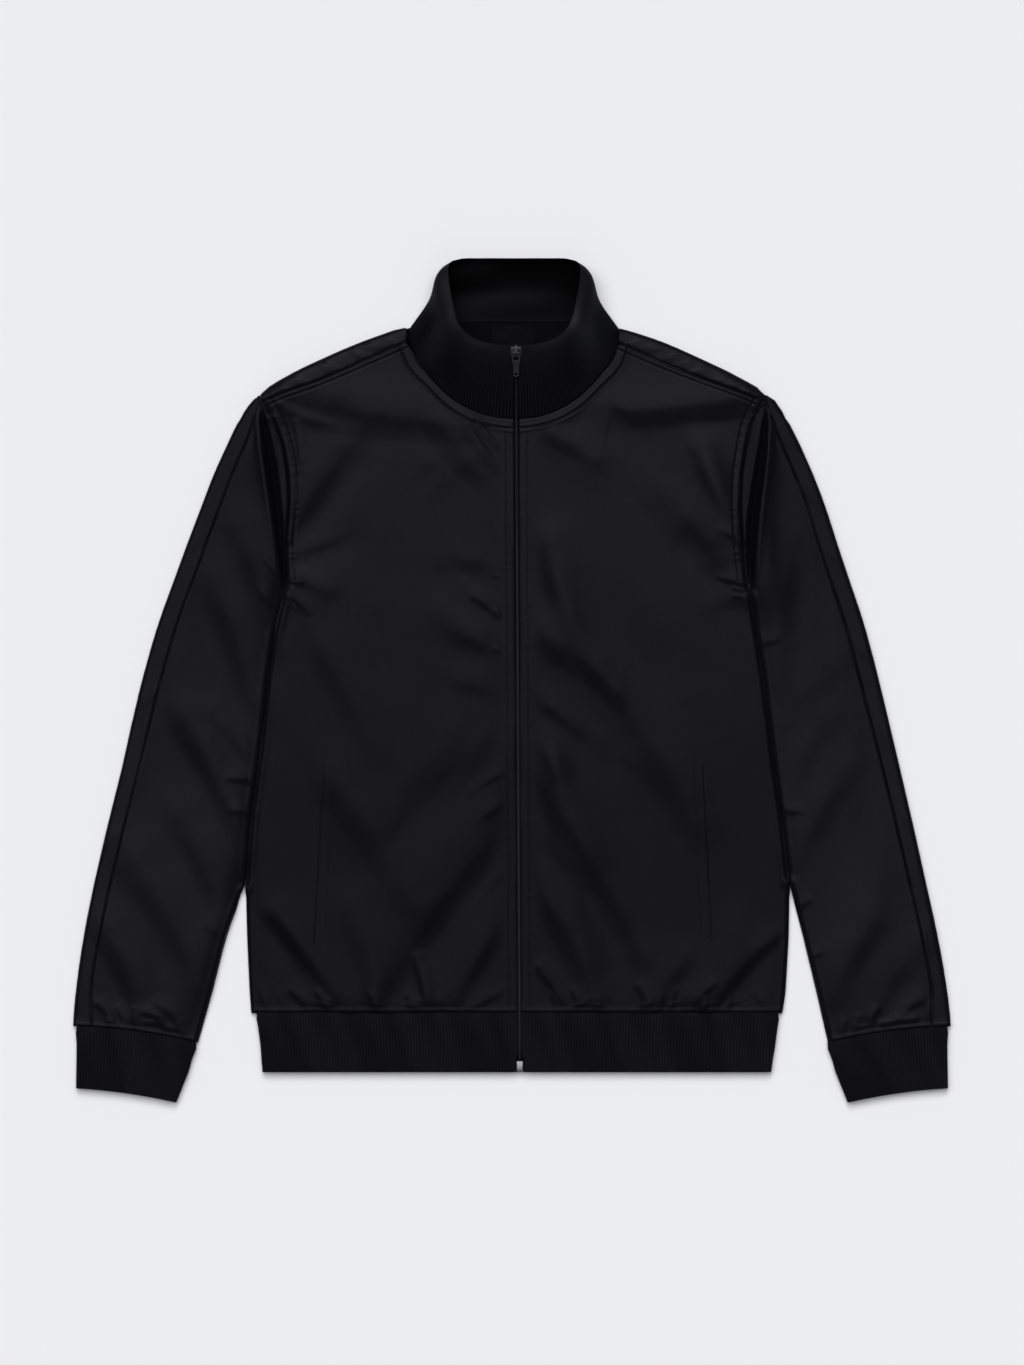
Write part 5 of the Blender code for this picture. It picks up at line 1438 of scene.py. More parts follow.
    def crease(self, shape: bmesh.types.BMesh, seams: list[Seam], rows: list[Topstitch]) -> None:
        """Lifts and lowers the cloth by its creases, seams and stitch rows.

        Args:
            shape: The panel's wall.
            seams: Seams of the upper side.
            rows: Rows of stitches of the upper side.
        """
        shape.normal_update()
        places = places_of(shape)
        plan = places[:, :2]
        level = np.abs(np.array([vert.normal.z for vert in shape.verts]))
        share = np.clip((level - 0.15) / 0.45, 0.0, 1.0)
        share = share * share * (3.0 - 2.0 * share)
        rise = slow_waves(plan)
        for each in (*seams, *rows):
            rise += each.rise(plan)
        placket = np.clip((np.abs(plan[:, 0] - zip_across(plan[:, 1])) - 11.5) / 7.0, 0.0, 1.0)
        placket = placket * placket * (3.0 - 2.0 * placket)
        broad_placket = np.clip((np.abs(plan[:, 0] - zip_across(plan[:, 1])) - 10.0) / 26.0, 0.0, 1.0)
        broad_placket = broad_placket * broad_placket * (3.0 - 2.0 * broad_placket)
        for fold in FINE_CREASES:
            rise += fold.lift(plan) * (broad_placket if fold.width >= BROAD_FOLD else placket)
        for edge in TURNED_EDGES:
            rise += edge.lift(plan)
        if not self.under:
            for tuck in TUCKS:
                rise += tuck.lift(plan)
        if self.under:
            beneath = places[:, 2] < 3.6
            lift = np.zeros(len(plan))
            for fold in UNDER_CREASES:
                lift += fold.lift(plan)
            rise = np.where(beneath, np.minimum(lift, 2.4), rise)
        for vert, lift in zip(shape.verts, rise * share * MM):
            vert.co.z += float(lift)


# Rib knit -----------------------------------------------------------------------------------------


@dataclass
class RibBand:
    """A band of rib knit made from a flat grid, with rounded ribs on both sides.

    Attributes:
        node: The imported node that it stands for.
        ribs: How many ribs it has.
        rows: How many rows of faces it has up each rib.
        flat: Size of the cloth that it is cut from, in metres.
        closed: Whether its two ends meet.
        relief: Height of a rib over the valleys.
        wall: Thickness of the knit.
        per_rib: Faces across one rib.
    """

    node: str
    ribs: int
    rows: int
    flat: tuple[float, float]
    closed: bool
    relief: float = 0.45
    wall: float = 1.5
    per_rib: int = 4

    def place(self, across: float, up: float) -> Vector:
        """Place of the smooth knit, in millimetres, at shares of its length and height."""
        raise NotImplementedError

    def rib_height(self, across: float, up: float) -> float:
        """How far the ribs stand out at a place, from none to all."""
        return 1.0

    def stand_out(self, across: float, up: float) -> float:
        """How far soft bulges and dents move the knit out at a place, in millimetres."""
        return 0.0

    def nap_and_painted_light_at(self, across: float, up: float) -> float:
        """How smoothly the loops lie at a place: uneven in soft patches.

        Args:
            across: Share of the way across.
            up: Share of the way up.

        Returns:
            One where they lie as usual.
        """
        phase = math.tau * round(0.03 * self.ribs) * across
        return 1.0 + 0.2 * math.sin(phase + 1.5 * math.sin(3.1 * up + 2.0 * phase))

    def build(self, material: bpy.types.Material) -> bpy.types.Object:
        """Makes the band and fixes it to the jacket.

        Args:
            material: The rib knit.

        Returns:
            The band.
        """
        shape = bmesh.new()
        bmesh.ops.create_grid(
            shape, x_segments=self.ribs * self.per_rib, y_segments=self.rows, size=0.5, calc_uvs=True
        )
        uv = shape.loops.layers.uv.verify()
        depth = shape.verts.layers.float.new("rib_depth")
        nap_and_painted_light = shape.verts.layers.float.new("nap_and_painted_light")
        shares = {vert: (vert.co.x + 0.5, vert.co.y + 0.5) for vert in shape.verts}
        span = (self.place(0.5, 1.0) - self.place(0.5, 0.0)).length
        for face in shape.faces:
            for loop in face.loops:
                across, up = shares[loop.vert]
                loop[uv].uv = (across * self.ribs, up * span)
        step = 0.5 / (self.ribs * self.per_rib)
        for vert, (across, up) in shares.items():
            middle = self.place(across, up)
            low, high = max(up - 0.02, 0.0), min(up + 0.02, 1.0)
            before, after = max(across - step, 0.0), min(across + step, 1.0)
            way = (self.place(after, up) - self.place(before, up)).cross(
                self.place(across, high) - self.place(across, low)
            )
            out = way.normalized()
            vert[depth] = self.rib_height(across, up)
            vert[nap_and_painted_light] = self.nap_and_painted_light_at(across, up)
            stand = 0.5 * self.relief * vert[depth] * (math.cos(math.tau * across * self.ribs) - 1.0)
            vert.co = (middle + out * (stand + self.stand_out(across, up))) * MM
        bmesh.ops.solidify(shape, geom=shape.faces[:], thickness=-self.wall * MM)
        if self.closed:
            bmesh.ops.remove_doubles(shape, verts=shape.verts[:], dist=0.02 * MM)
        bmesh.ops.recalc_face_normals(shape, faces=shape.faces[:])
        piece = new_piece(self.node + "_knit", shape, material, sharp=70.0)
        piece.data.uv_layers[0].name = "knit"
        put_on(piece, "rib_knit", self.node)
        return piece


@dataclass(frozen=True)
class CollarRing:
    """One ring of the collar, from the front's middle round to the back's middle.

    Attributes:
        share: How far up the collar it lies.
        spots: Places as out from the middle, along and up.
    """

    share: float
    spots: tuple


COLLAR_RINGS = (
    CollarRing(0.0, (
        (0.0, 243.2, 8.5), (29.0, 247.7, 8.8), (54.0, 259.7, 8.8), (76.0, 280.2, 8.6),
        (92.0, 303.0, 8.2), (97.2, 326.8, 0.9), (77.0, 332.2, 0.6), (40.0, 333.5, 0.7),
        (0.0, 333.5, 0.7),
    )),
    CollarRing(0.4, (
        (0.0, 268.0, 19.0), (26.0, 272.0, 19.5), (48.0, 283.0, 19.8), (66.0, 300.0, 19.5),
        (77.0, 324.0, 18.0), (79.5, 352.0, 11.5), (64.0, 358.0, 4.5), (36.0, 359.0, 3.0),
        (0.0, 359.0, 2.6),
    )),
    CollarRing(0.8, (
        (0.0, 298.0, 30.0), (22.0, 300.5, 30.5), (42.0, 308.0, 30.5), (57.0, 321.0, 30.0),
        (66.0, 343.0, 28.5), (73.0, 373.0, 20.0), (60.0, 384.0, 11.0), (34.0, 385.0, 8.5),
        (0.0, 385.0, 7.5),
    )),
    CollarRing(1.0, (
        (0.0, 310.0, 33.0), (18.0, 311.5, 33.0), (35.0, 316.0, 32.5), (50.0, 328.0, 32.0),
        (57.0, 350.0, 31.0), (61.0, 383.0, 24.5), (51.0, 391.0, 15.5), (30.0, 392.0, 13.0),
        (0.0, 392.0, 12.0),
    )),
)


def between(rows: tuple | list, position: float) -> Vector:
    """Point on the smooth curve through a table's rows; position counts rows from 0.

    Args:
        rows: The rows.
        position: How many rows along, with its fraction.

    Returns:
        The point.
    """
    last = len(rows) - 1
    index = min(int(position), last - 1)
    part = position - index
    around = [Vector(rows[min(max(index + step, 0), last)]) for step in (-1, 0, 1, 2)]
    leave, arrive = (around[2] - around[0]) * 0.5, (around[3] - around[1]) * 0.5
    square, cube = part * part, part**3
    return (
        around[1] * (2 * cube - 3 * square + 1) + leave * (cube - 2 * square + part)
        + around[2] * (3 * square - 2 * cube) + arrive * (cube - square)
    )


class Collar(RibBand):
    """Stand collar: it leans in to a rolled top edge and is open at the zip."""

    middle = 2.0
    zip_half = 3.1
    # patches of painted light and painted shade in the knit's colour and gloss:
    # place round and up the collar, reach round and up, and strength
    shine = (
        (0.215, 0.55, 0.025, 0.35, 1.4), (0.262, 0.35, 0.022, 0.4, -0.4), (0.15, 0.3, 0.03, 0.3, -0.2),
        (0.79, 0.62, 0.032, 0.4, 4.4), (0.765, 0.3, 0.016, 0.3, -0.4), (0.86, 0.4, 0.03, 0.3, -0.1),
        (0.29, 0.85, 0.035, 0.25, 1.2), (0.7, 0.85, 0.04, 0.2, 0.9), (0.4, 0.7, 0.08, 0.2, 0.3),
        (0.5, 0.42, 0.07, 0.2, 0.75), (0.43, 0.28, 0.05, 0.16, 0.5), (0.58, 0.6, 0.05, 0.16, 0.35),
        (0.44, 0.88, 0.03, 0.1, 0.5), (0.53, 0.95, 0.05, 0.05, 0.4),
    )
    # soft bulges and dents, in the same way, with their height
    bulges = (
        (0.2, 0.45, 0.035, 0.5, -2.2), (0.155, 0.4, 0.03, 0.45, 1.5), (0.1, 0.55, 0.05, 0.3, -0.8),
        (0.8, 0.4, 0.03, 0.4, -2.0), (0.85, 0.35, 0.03, 0.4, 1.6), (0.9, 0.6, 0.05, 0.3, -0.8),
        (0.42, 0.62, 0.08, 0.16, 2.2), (0.56, 0.72, 0.09, 0.14, 2.0), (0.5, 0.3, 0.14, 0.16, 1.4),
        (0.38, 0.3, 0.05, 0.2, -1.6), (0.62, 0.4, 0.04, 0.25, -1.6), (0.5, 0.95, 0.12, 0.08, 0.8),
    )

    def rib_height(self, across: float, up: float) -> float:
        """Ribs stand out low on the front, and stretch nearly flat up to the rolled edge and round the back.

        Args:
            across: Share of the way across.
            up: Share of the way up.

        Returns:
            Share of a rib that is left.
        """
        round_it = 1.0 - abs(2.0 * across - 1.0)
        front = 1.0 - float(np.interp(round_it, (0.0, 0.5, 0.72, 1.0), (0.0, 0.1, 0.9, 0.92)))
        return front * float(np.interp(up, (0.0, 0.45, 0.75, 1.0), (1.0, 0.9, 0.25, 0.12)))

    def stand_out(self, across: float, up: float) -> float:
        """Height of the soft bulges and dents at a place, which die away at the seams and the zip.

        Args:
            across: Share of the way across.
            up: Share of the way up.

        Returns:
            The height.
        """
        calm = min(1.0, up / 0.15) * min(1.0, (1.0 - up) / 0.08) * min(1.0, min(across, 1.0 - across) / 0.05)
        return calm * self.patches(self.bulges, across, up)

    def patches(self, table: tuple, across: float, up: float) -> float:
        """Sum of a table's soft patches at a place.

        Args:
            table: Place across and up, reach across and up, and height of each patch.
            across: Share of the way across.
            up: Share of the way up.

        Returns:
            The sum.
        """
        return sum(
            high * math.exp(-(((across - round_it) / reach) ** 2) - ((up - level) / tall) ** 2)
            for round_it, level, reach, tall, high in table
        )

    def nap_and_painted_light_at(self, across: float, up: float) -> float:
        """Painted light along the rolled edge and painted shade inside the back, as a level of the knit's
        colour and gloss.

        Args:
            across: Share of the way across.
            up: Share of the way up.

        Returns:
            The level, higher where the knit is painted lighter and glossier.
        """
        round_it = 1.0 - abs(2.0 * across - 1.0)
        front = float(np.interp(up, (0.0, 0.5, 0.85, 1.0), (1.0, 1.0, 1.4, 1.3)))
        inside = float(np.interp(up, (0.0, 0.25, 0.5, 0.9, 0.96, 1.0), (0.9, 0.5, 0.0, 0.0, 0.4, 0.7)))
        base = front + (inside - front) * float(np.interp(round_it, (0.62, 0.74), (0.0, 1.0)))
        return max(0.0, base + self.patches(self.shine, across, up))

    def place(self, across: float, up: float) -> Vector:
        """Place of the smooth collar; across runs from the zip's right side round to its left side.

        Args:
            across: Share of the way across.
            up: Share of the way up.

        Returns:
            The place, in millimetres.
        """
        turn = 2.0 * across
        sign, round_it = (-1.0, turn) if turn <= 1.0 else (1.0, 2.0 - turn)
        last = len(COLLAR_RINGS[0].spots) - 1.0
        start = self.zip_half / 26.0
        position = start + (last - start) * round_it
        shares = [ring.share for ring in COLLAR_RINGS]
        index = min(sum(1 for share in shares if share < up), len(shares) - 1)
        index = max(index, 1)
        part = (up - shares[index - 1]) / (shares[index] - shares[index - 1])
        spot = between([between(ring.spots, position) for ring in COLLAR_RINGS], index - 1 + part)
        lean = ZIP_TOP[0] - self.middle
        middle = self.middle + lean * math.exp(-((position / 1.2) ** 2))
        return Vector((middle + sign * spot.x, spot.y, spot.z))


@dataclass
class FlatTube(RibBand):
    """A flattened tube of rib knit: its upper half, round both rims and its lower half.

    Attributes:
        height: Height of the flattened tube.
        tuck: How far its upper edge is squeezed under the satin.
    """

    height: float = 7.0
    tuck: float = 2.2

    def tucked(self, up: float) -> float:
        """How far a row is squeezed from above and below, where its upper edge goes in under the satin."""
        return self.tuck * max(0.0, up - 0.9) / 0.1

    def section(self, turned: float, width: float, up: float) -> tuple[float, float]:
        """One place of the section seen end on.

        Args:
            turned: Share of the way round, from the middle of the upper side.
            width: Width of the flattened tube.
            up: Share of the band's height.

        Returns:
            How far from the middle it is, and how high.
        """
        out, high = self.whole_section(turned, width)
        middle = self.height / 2.0
        squeeze = 1.0 - self.tucked(up) / middle
        return out * (1.0 - 2.0 * self.tucked(up) / width), middle + (high - middle) * squeeze

    def whole_section(self, turned: float, width: float) -> tuple[float, float]:
        """The same place where nothing squeezes the band.

        Args:
            turned: Share of the way round, from the middle of the upper side.
            width: Width of the flattened tube.

        Returns:
            How far from the middle it is, and how high.
        """
        radius = self.height / 2.0
        flat = width - 2.0 * radius
        bend = math.pi * radius
        travelled = turned * (2.0 * flat + 2.0 * bend)
        if travelled < flat / 2.0:
            return travelled, self.height
        travelled -= flat / 2.0
        if travelled < bend:
            angle = travelled / radius
            return flat / 2.0 + radius * math.sin(angle), radius + radius * math.cos(angle)
        travelled -= bend
        if travelled < flat:
            return flat / 2.0 - travelled, 0.0
        travelled -= flat
        if travelled < bend:
            angle = travelled / radius
            return -flat / 2.0 - radius * math.sin(angle), radius - radius * math.cos(angle)
        travelled -= bend
        return -flat / 2.0 + travelled, self.height


@dataclass
class HemBand(FlatTube):
    """Hem band: open at the zip, with its ends turned in beside the retainer box."""

    def place(self, across: float, up: float) -> Vector:
        """Place of the smooth band; across runs from the zip round the wearer's left side and the back.

        Args:
            across: Share of the way across.
            up: Share of the way up.

        Returns:
            The place, in millimetres.
        """
        along = -364.0 + 54.6 * up
        left = float(np.interp(along, (-364.0, -337.0, -318.0, HEM_SEAM), (241.0, 245.0, 247.4, 249.4)))
        right = float(np.interp(along, (-364.0, -337.0, -318.0, HEM_SEAM), (232.0, 234.2, 236.8, 239.4)))
        gap = float(np.interp(along, (-364.0, -352.0, -346.0, -309.0), (3.9, 3.7, 1.7, 1.4)))
        middle, width = (left - right) / 2.0, left + right
        start = zip_across(along) - middle
        radius = self.height / 2.0
        whole = 2.0 * (width - 2.0 * radius) + math.tau * radius
        travelled = start + gap + across * (whole - 2.0 * gap)
        out, high = self.section(travelled / whole % 1.0, width, up)
        if travelled > whole and high > radius:
            out = travelled - whole
        return Vector((middle + out, along + self.tucked(up), high))


@dataclass
class Cuff(FlatTube):
    """Cuff: a tube that narrows to the hand and leans in at its inner edge.

    Attributes:
        side: Which arm it is on.
    """

    side: Side = Side.LEFT

    def place(self, across: float, up: float) -> Vector:
        """Place of the smooth cuff; across runs once round it from the middle of its upper side.

        Args:
            across: Share of the way across.
            up: Share of the way up.

        Returns:
            The place, in millimetres.
        """
        table = (
            (0.0, 405.3, -379.0, 312.0, -392.3, 2.0),
            (0.5, 404.8, -350.5, 300.5, -363.5, 3.0),
            (0.75, 404.7, -336.4, 297.0, -350.7, 3.3),
            (0.9, 405.5, -328.0, 293.6, -343.0, 3.4),
            (1.0, 406.6, -322.4, 291.0, -337.9, 3.5),
        )
        columns = list(zip(*table))
        out, along, inner_out, inner_along, bow = (
            float(np.interp(up, columns[0], row)) for row in columns[1:]
        )
        edge, inner = Vector((out, along)), Vector((inner_out, inner_along))
        width = (edge - inner).length
        aside, high = self.section(across if self.side is Side.LEFT else 1.0 - across, width, up)
        share = 0.5 + aside / width
        plan = inner.lerp(edge, share) + Vector((0.0, bow * 4.0 * share * (1.0 - share) + self.tucked(up)))
        return Vector((self.side.sign * plan.x, plan.y, high))


# Zip, pockets, label and thread -------------------------------------------------------------------


def surface_of(*pieces: bpy.types.Object) -> BVHTree:
    """Surface of some finished pieces, ready to lay things on.

    Args:
        *pieces: The pieces.

    Returns:
        Their common surface.
    """
    shape = bmesh.new()
    for piece in pieces:
        shape.from_mesh(piece.data)
    tree = BVHTree.FromBMesh(shape)
    shape.free()
    return tree


@dataclass
class Thread:
    """Rows of stitches laid on the finished cloth.

    Attributes:
        stitch: Length of one stitch.
        gap: Distance between two stitches.
        thick: Thickness of the thread.
    """

    stitch: float = 2.3
    gap: float = 0.7
    thick: float = 0.55

    def build(
        self, name: str, lines: list[np.ndarray], ground: BVHTree, material: bpy.types.Material
    ) -> bpy.types.Object:
        """Makes one piece of all the stitches along some lines.

        Args:
            name: The piece's name.
            lines: Where the rows run, in plan.
            ground: The cloth that they lie on.
            material: The thread.

        Returns:
            The stitches.
        """
        shape = bmesh.new()
        one = bpy.data.meshes.new("stitch")
        for line in lines:
            for start, end in self.spots(line):
                low, up_low = drop_on(ground, *start)
                high, up_high = drop_on(ground, *end)
                up = (up_low + up_high).normalized()
                run = (high - low).normalized()
                side = up.cross(run).normalized()
                up = run.cross(side)
                turned = Matrix((run, side, up)).transposed().to_4x4()
                turned.translation = (low + high) / 2.0 + up * 0.05 * MM
                bead = bmesh.new()
                bmesh.ops.create_uvsphere(bead, u_segments=6, v_segments=4, radius=0.5 * MM)
                size = (high - low).length / MM
                stretched = Matrix.Diagonal((size, self.thick, self.thick * 0.8, 1.0))
                bmesh.ops.transform(
                    bead, verts=bead.verts[:],
                    matrix=turned @ stretched @ Matrix.Rotation(math.pi / 2.0, 4, "Y"),
                )
                bead.to_mesh(one)
                bead.free()
                shape.from_mesh(one)
        bpy.data.meshes.remove(one)
        piece = new_piece(name, shape, material)
        put_on(piece, "satin_cloth")
        return piece

    def spots(self, line: np.ndarray) -> list[tuple[tuple, tuple]]:
        """Both ends of every stitch along a line.

        Args:
            line: Points of the line.

        Returns:
            Where each stitch starts and ends, in plan.
        """
        steps = np.linalg.norm(np.diff(line, axis=0), axis=1)
        travelled = np.concatenate([[0.0], np.cumsum(steps)])
        starts = np.arange(self.gap, travelled[-1] - self.stitch, self.stitch + self.gap)
        found = []
        for start in starts:
            ends = [
                (
                    float(np.interp(place, travelled, line[:, 0])),
                    float(np.interp(place, travelled, line[:, 1])),
                )
                for place in (start, start + self.stitch)
            ]
            found.append((ends[0], ends[1]))
        return found


@dataclass
class Zipper:
    """The zip: two woven tapes, the coil between them, and the plated parts at both ends.

    Attributes:
        coil_pitch: Distance between two turns of the coil.
        coil_width: Width of one turn.
    """

    coil_pitch: float = 1.5
    coil_width: float = 2.3

    def build(
        self, tape: bpy.types.Material, nylon: bpy.types.Material,
        bright: bpy.types.Material, dark: bpy.types.Material,
    ) -> None:
        """Makes the tapes and the coil and dresses the metal parts.

        Args:
            tape: Woven tape.
            nylon: The coil's nylon.
            bright: Plating of the slider and the retainer box.
            dark: Plating of the pull tab.
        """
        tapes = []
        for side in Side:
            node = "zip_tape_" + side.word
            piece = new_piece(node + "_woven", rounded_by_halves(merged_copy(node), 1), tape)
            put_on(piece, "zip_tape", node)
            tapes.append(piece)
        self.coil(surface_of(*tapes), nylon)
        for node, metal in (("zip_slider", dark), ("zip_retainer_box", bright), ("zip_pull_tab", dark)):
            body = "pull_tab" if node == "zip_pull_tab" else "jacket"
            shape = merged_copy(node)
            edges = [
                edge for edge in shape.edges
                if edge.is_manifold and edge.calc_face_angle() > math.radians(30.0)
                and edge.calc_length() > 0.3 * MM
            ]
            bmesh.ops.bevel(
                shape, geom=edges, offset=0.12 * MM, offset_type="OFFSET",
                segments=2, profile=0.5, affect="EDGES",
                clamp_overlap=True, material=-1,
            )
            put_on(new_piece(node + "_plated", shape, metal, sharp=35.0), "zip_metal", node, body=body)

    def coil(self, ground: BVHTree, material: bpy.types.Material) -> None:
        """Lays the turns of the coil along the middle of the zip.

        Args:
            ground: The tapes.
            material: What the coil is made of.
        """
        shape = bmesh.new()
        one = bpy.data.meshes.new("turn")
        along, sign = -351.0, 1.0
        while along < 298.0:
            middle = zip_across(along)
            point, _ = drop_on(ground, middle + 0.8 * sign, along)
            bead = bmesh.new()
            bmesh.ops.create_uvsphere(bead, u_segments=6, v_segments=4, radius=0.5 * MM)
            sunk = 0.12 + 0.4 * min(1.0, max(0.0, (along - 90.0) / 90.0))
            spot = Matrix.Translation(Vector((middle * MM, along * MM, point.z - sunk * MM)))
            turn = Matrix.Rotation(math.radians(18.0 * sign), 4, "Z")
            bmesh.ops.transform(
                bead, verts=bead.verts[:],
                matrix=spot @ turn @ Matrix.Diagonal((self.coil_width, 0.95, 0.8, 1.0)),
            )
            bead.to_mesh(one)
            bead.free()
            shape.from_mesh(one)
            along += self.coil_pitch
            sign = -sign
        bpy.data.meshes.remove(one)
        put_on(new_piece("zip_coil", shape, material), "zip_tape")


@dataclass
class PocketWelts:
    """The narrow folded strips beside the pocket slits: proud at the slit and sewn flat at the other edge.

    Attributes:
        width: Width of a finished strip.
        proud: How far its folded edge stands over the front.
    """

    width: float = 7.5
    proud: float = 0.3

    def build(self, finish: SatinCloth, ground: BVHTree) -> list[bpy.types.Object]:
        """Makes both welts.

        Args:
            finish: What they are cut from.
            ground: The fronts that they lie on.

        Returns:
            The welts.
        """
        material = finish.make()
        return [self.welt(side, material, ground) for side in Side]

    def welt(self, side: Side, material: bpy.types.Material, ground: BVHTree) -> bpy.types.Object:
        """Makes one welt.

        Args:
            side: Which front it is on.
            material: What it is cut from.
            ground: The fronts.

        Returns:
            The welt.
        """
        (x0, y0), (x1, y1) = POCKET[side]
        shape = bmesh.new()
        bmesh.ops.create_grid(shape, x_segments=12, y_segments=90, size=0.5)
        for vert in shape.verts:
            inward, up = vert.co.x + 0.5, 0.5 - vert.co.y
            x = x0 + (x1 - x0) * up - side.sign * self.width * inward
            y = y0 + (y1 - y0) * up
            point, _ = drop_on(ground, x, y)
            ends = min(1.0, min(up, 1.0 - up) / 0.02)
            lift = 0.12 + self.proud * (1.0 - inward) ** 2 * ends
            vert.co = point + Vector((0.0, 0.0, lift * MM))
        bmesh.ops.recalc_face_normals(shape, faces=shape.faces[:])
        if shape.faces[0].normal.z < 0.0:
            bmesh.ops.reverse_faces(shape, faces=shape.faces[:])
        bmesh.ops.solidify(shape, geom=shape.faces[:], thickness=0.1 * MM)
        node = "pocket_welt_" + side.word
        piece = new_piece(node + "_cloth", shape, material)
        put_on(piece, "satin_cloth", node)
        return piece


@dataclass
class NeckLabel:
    """The woven label inside the back neck, left blank: its two ends are folded under and sewn."""

    def build(self, material: bpy.types.Material, thread: bpy.types.Material) -> None:
        """Makes the label.

        Args:
            material: The woven label.
            thread: The thread at its ends.
        """
        low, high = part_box("neck_label")
        shape = bmesh.new()
        bmesh.ops.create_grid(shape, x_segments=40, y_segments=20, size=0.5)
        for vert in shape.verts:
            across, up = vert.co.x, vert.co.y
            end = max(0.0, (abs(across) - 0.42) / 0.08)
            lift = 0.25 * math.sin(across * 9.0 + 1.0) * math.sin(up * 7.0) + 0.5 - 0.45 * end**2
            vert.co = Vector((
                (low.x + high.x) / 2.0 + across * (high.x - low.x),
                (low.y + high.y) / 2.0 + up * (high.y - low.y),
                low.z + lift * MM,
            ))
        bmesh.ops.recalc_face_normals(shape, faces=shape.faces[:])
        bmesh.ops.solidify(shape, geom=shape.faces[:], thickness=0.4 * MM)
        piece = new_piece("neck_label_woven", shape, material)
        put_on(piece, "label_weave", "neck_label")
        ends = [
            smooth_line((((low.x if end < 0 else high.x) / MM - 1.6 * end, low.y / MM + 1.0),
                         ((low.x if end < 0 else high.x) / MM - 1.6 * end, high.y / MM - 1.0)))
            for end in (-1.0, 1.0)
        ]
        Thread(stitch=1.6, gap=0.5, thick=0.4).build("neck_label_stitches", ends, surface_of(piece), thread)


# Studio -------------------------------------------------------------------------------------------


@dataclass(frozen=True)
class SoftLamp:
    """A wide soft light, far enough off to light the floor evenly.

    Attributes:
        name: The light's name.
        tilt: How far it stands from straight overhead, in degrees.
        turn: Which way it stands, in degrees round from the wearer's left towards the collar.
        strength: Its strength.
        spread: How wide it looks from the jacket, in degrees.
    """

    name: str
    tilt: float
    turn: float
    strength: float
    spread: float

    def hang(self) -> None:
        """Hangs the light over the jacket."""
        lamp = bpy.data.lights.new(self.name, "SUN")
        lamp.energy = self.strength
        lamp.angle = math.radians(self.spread)
        tilt, turn = math.radians(self.tilt), math.radians(self.turn)
        way = Vector((math.sin(tilt) * math.cos(turn), math.sin(tilt) * math.sin(turn), math.cos(tilt)))
        stand = bpy.data.objects.new(self.name, lamp)
        stand.location = way * 3.0
        stand.rotation_euler = way.to_track_quat("Z", "Y").to_euler()
        bpy.context.scene.collection.objects.link(stand)


@dataclass
class Studio:
    """Pale floor, soft light from the collar's end and the camera straight above.

    Attributes:
        room: Strength of the light that comes from all round.
        lamps: The lights.
        distance: Height of the camera over the floor, in metres.
        view_height: Length of floor that the camera sees, in metres.
        centre: Middle of the view, in metres.
    """

    room: float = 0.2
    lamps: tuple[SoftLamp, ...] = (
        SoftLamp("key_light", 20.0, 94.0, 2.25, 58.0),
        SoftLamp("top_light", 42.0, 96.0, 0.8, 24.0),
        SoftLamp("side_light", 38.0, 155.0, 0.42, 22.0),
        SoftLamp("fill_light", 60.0, -84.0, 0.1, 40.0),
    )
    distance: float = 8.0
    view_height: float = 1.2695
    centre: tuple[float, float] = (0.0, -0.0019)

    def build(self) -> None:
        """Makes the floor, the lights and the camera."""
        self.floor()
        for lamp in self.lamps:
            lamp.hang()
        world = bpy.data.worlds.new("soft_room")
        world.use_nodes = True
        world.node_tree.nodes["Background"].inputs["Color"].default_value = linear("e6e9ec")
        world.node_tree.nodes["Background"].inputs["Strength"].default_value = self.room
        bpy.context.scene.world = world
        bpy.context.scene.view_settings.view_transform = "Standard"
        self.camera()

    def floor(self) -> None:
        """Makes the floor, far wider than the view."""
        shape = bmesh.new()
        bmesh.ops.create_grid(shape, x_segments=8, y_segments=8, size=9.0)
        bmesh.ops.translate(shape, verts=shape.verts[:], vec=Vector((0.0, 0.0, -0.4 * MM)))
        new_piece("floor", shape, PaintedFloor().make())

    def camera(self) -> None:
        """Adds the camera, straight above, with a long lens."""
        lens = bpy.data.cameras.new("camera")
        lens.sensor_width = 36.0
        lens.lens = lens.sensor_width * self.distance / self.view_height
        lens.clip_end = 50.0
        stand = bpy.data.objects.new("camera", lens)
        stand.location = (self.centre[0], self.centre[1], self.distance)
        bpy.context.scene.collection.objects.link(stand)
        bpy.context.scene.camera = stand


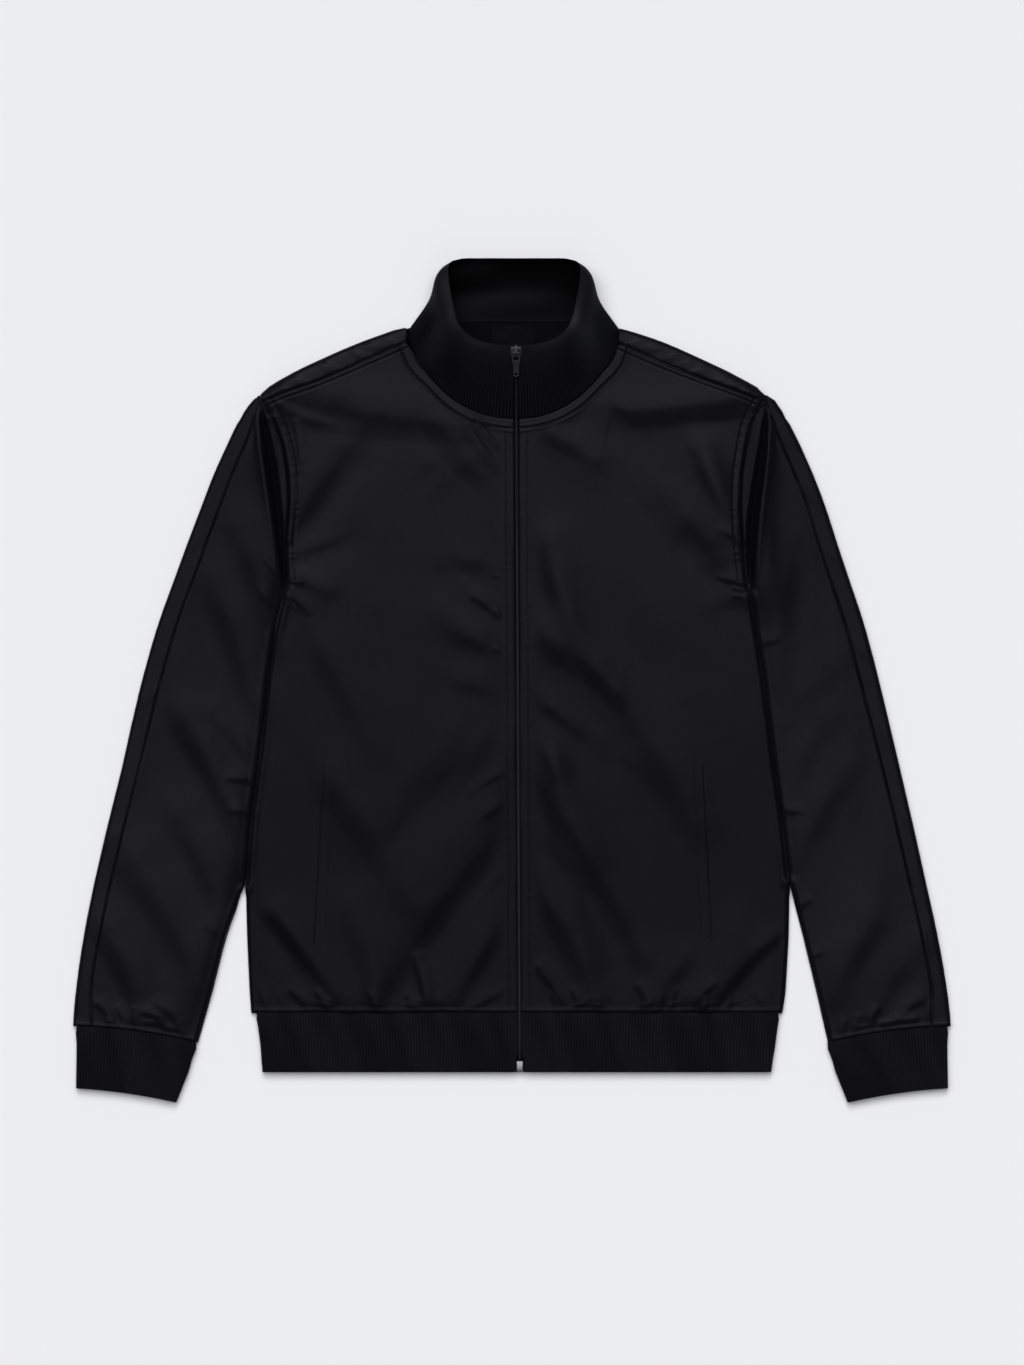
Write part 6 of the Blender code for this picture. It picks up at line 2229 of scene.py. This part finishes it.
def main() -> None:
    """Builds every piece in order."""
    logging.basicConfig(level=logging.INFO, format="%(message)s")
    Studio().build()
    seams, rows = sewing_lines()
    satin = SatinCloth("black_satin")
    panels = [
        SatinPanel("front_right", satin, (0.262, 0.63), 0.138),
        SatinPanel("front_left", satin, (0.262, 0.63), 0.135),
        SatinPanel("back", satin, (0.52, 0.68), 0.31, under=True),
    ]
    for side in Side:
        # the sleeves' painted sheen is graded the other way, higher towards the cuffs
        sleeve = SatinCloth(
            "black_satin_sleeve_" + side.word, turn=-14.0 * side.sign, gloss=0.0545, painted_sheen_grade=-0.2
        )
        panels.append(SatinPanel("sleeve_front_" + side.word, sleeve, (0.14, 0.62), 0.055))
        panels.append(SatinPanel("sleeve_back_" + side.word, sleeve, (0.2, 0.65), 0.078, under=True))
    # the dull reverse also darkens the tuck floors as painted shade
    reverse_and_tuck_shade = FineWeave("black_satin_reverse_and_tuck_shade", shade="070709", lighter="0c0c0f", roughness=0.8).make()
    cloth = [panel.build(seams, rows, reverse_and_tuck_shade) for panel in panels]
    knit = RibKnit().make()
    # the collar's knit is a darker copy of the bands' knit, with darker crests, valleys and rims: painted
    # shade; it is glossier where stretched
    collar_knit_painted_darker = RibKnit(
        "black_rib_knit_stretched_painted_darker", crest="0f0f12", painted_valley_shade="030304", fuzz="121317",
        gloss=0.032, roughness=0.45,
    ).make()
    Collar("collar", 160, 30, (0.43, 0.072), closed=False).build(collar_knit_painted_darker)
    HemBand("hem_band", 344, 10, (0.97, 0.056), closed=False).build(knit)
    for side in Side:
        Cuff("cuff_" + side.word, 80, 10, (0.23, 0.058), closed=True, side=side).build(knit)
    welts = PocketWelts().build(SatinCloth("black_satin_welt", turn=90.0), surface_of(*cloth[:2]))
    tape = FineWeave("black_zip_tape", shade="101012", lighter="18181b", roughness=0.42, gloss=0.04).make()
    thread = FineWeave("black_sewing_thread", shade="0c0c0e", lighter="141417", roughness=0.5).make()
    bright = PlatedMetal("nickel_plate", "747476", "5c5c60").make()
    dark = PlatedMetal("dark_nickel_plate", "4c4c50", "343438").make()
    nylon = FineWeave("black_nylon_coil", shade="1a1a1c", lighter="242427", roughness=0.35, gloss=0.3).make()
    Zipper().build(tape, nylon, bright, dark)
    NeckLabel().build(FineWeave("black_woven_label", shade="08080a", lighter="0f0f12").make(), thread)
    ground = surface_of(*cloth, *welts)
    Thread().build("topstitching", [row.line() for row in rows], ground, thread)


if __name__ == "__main__":
    main()
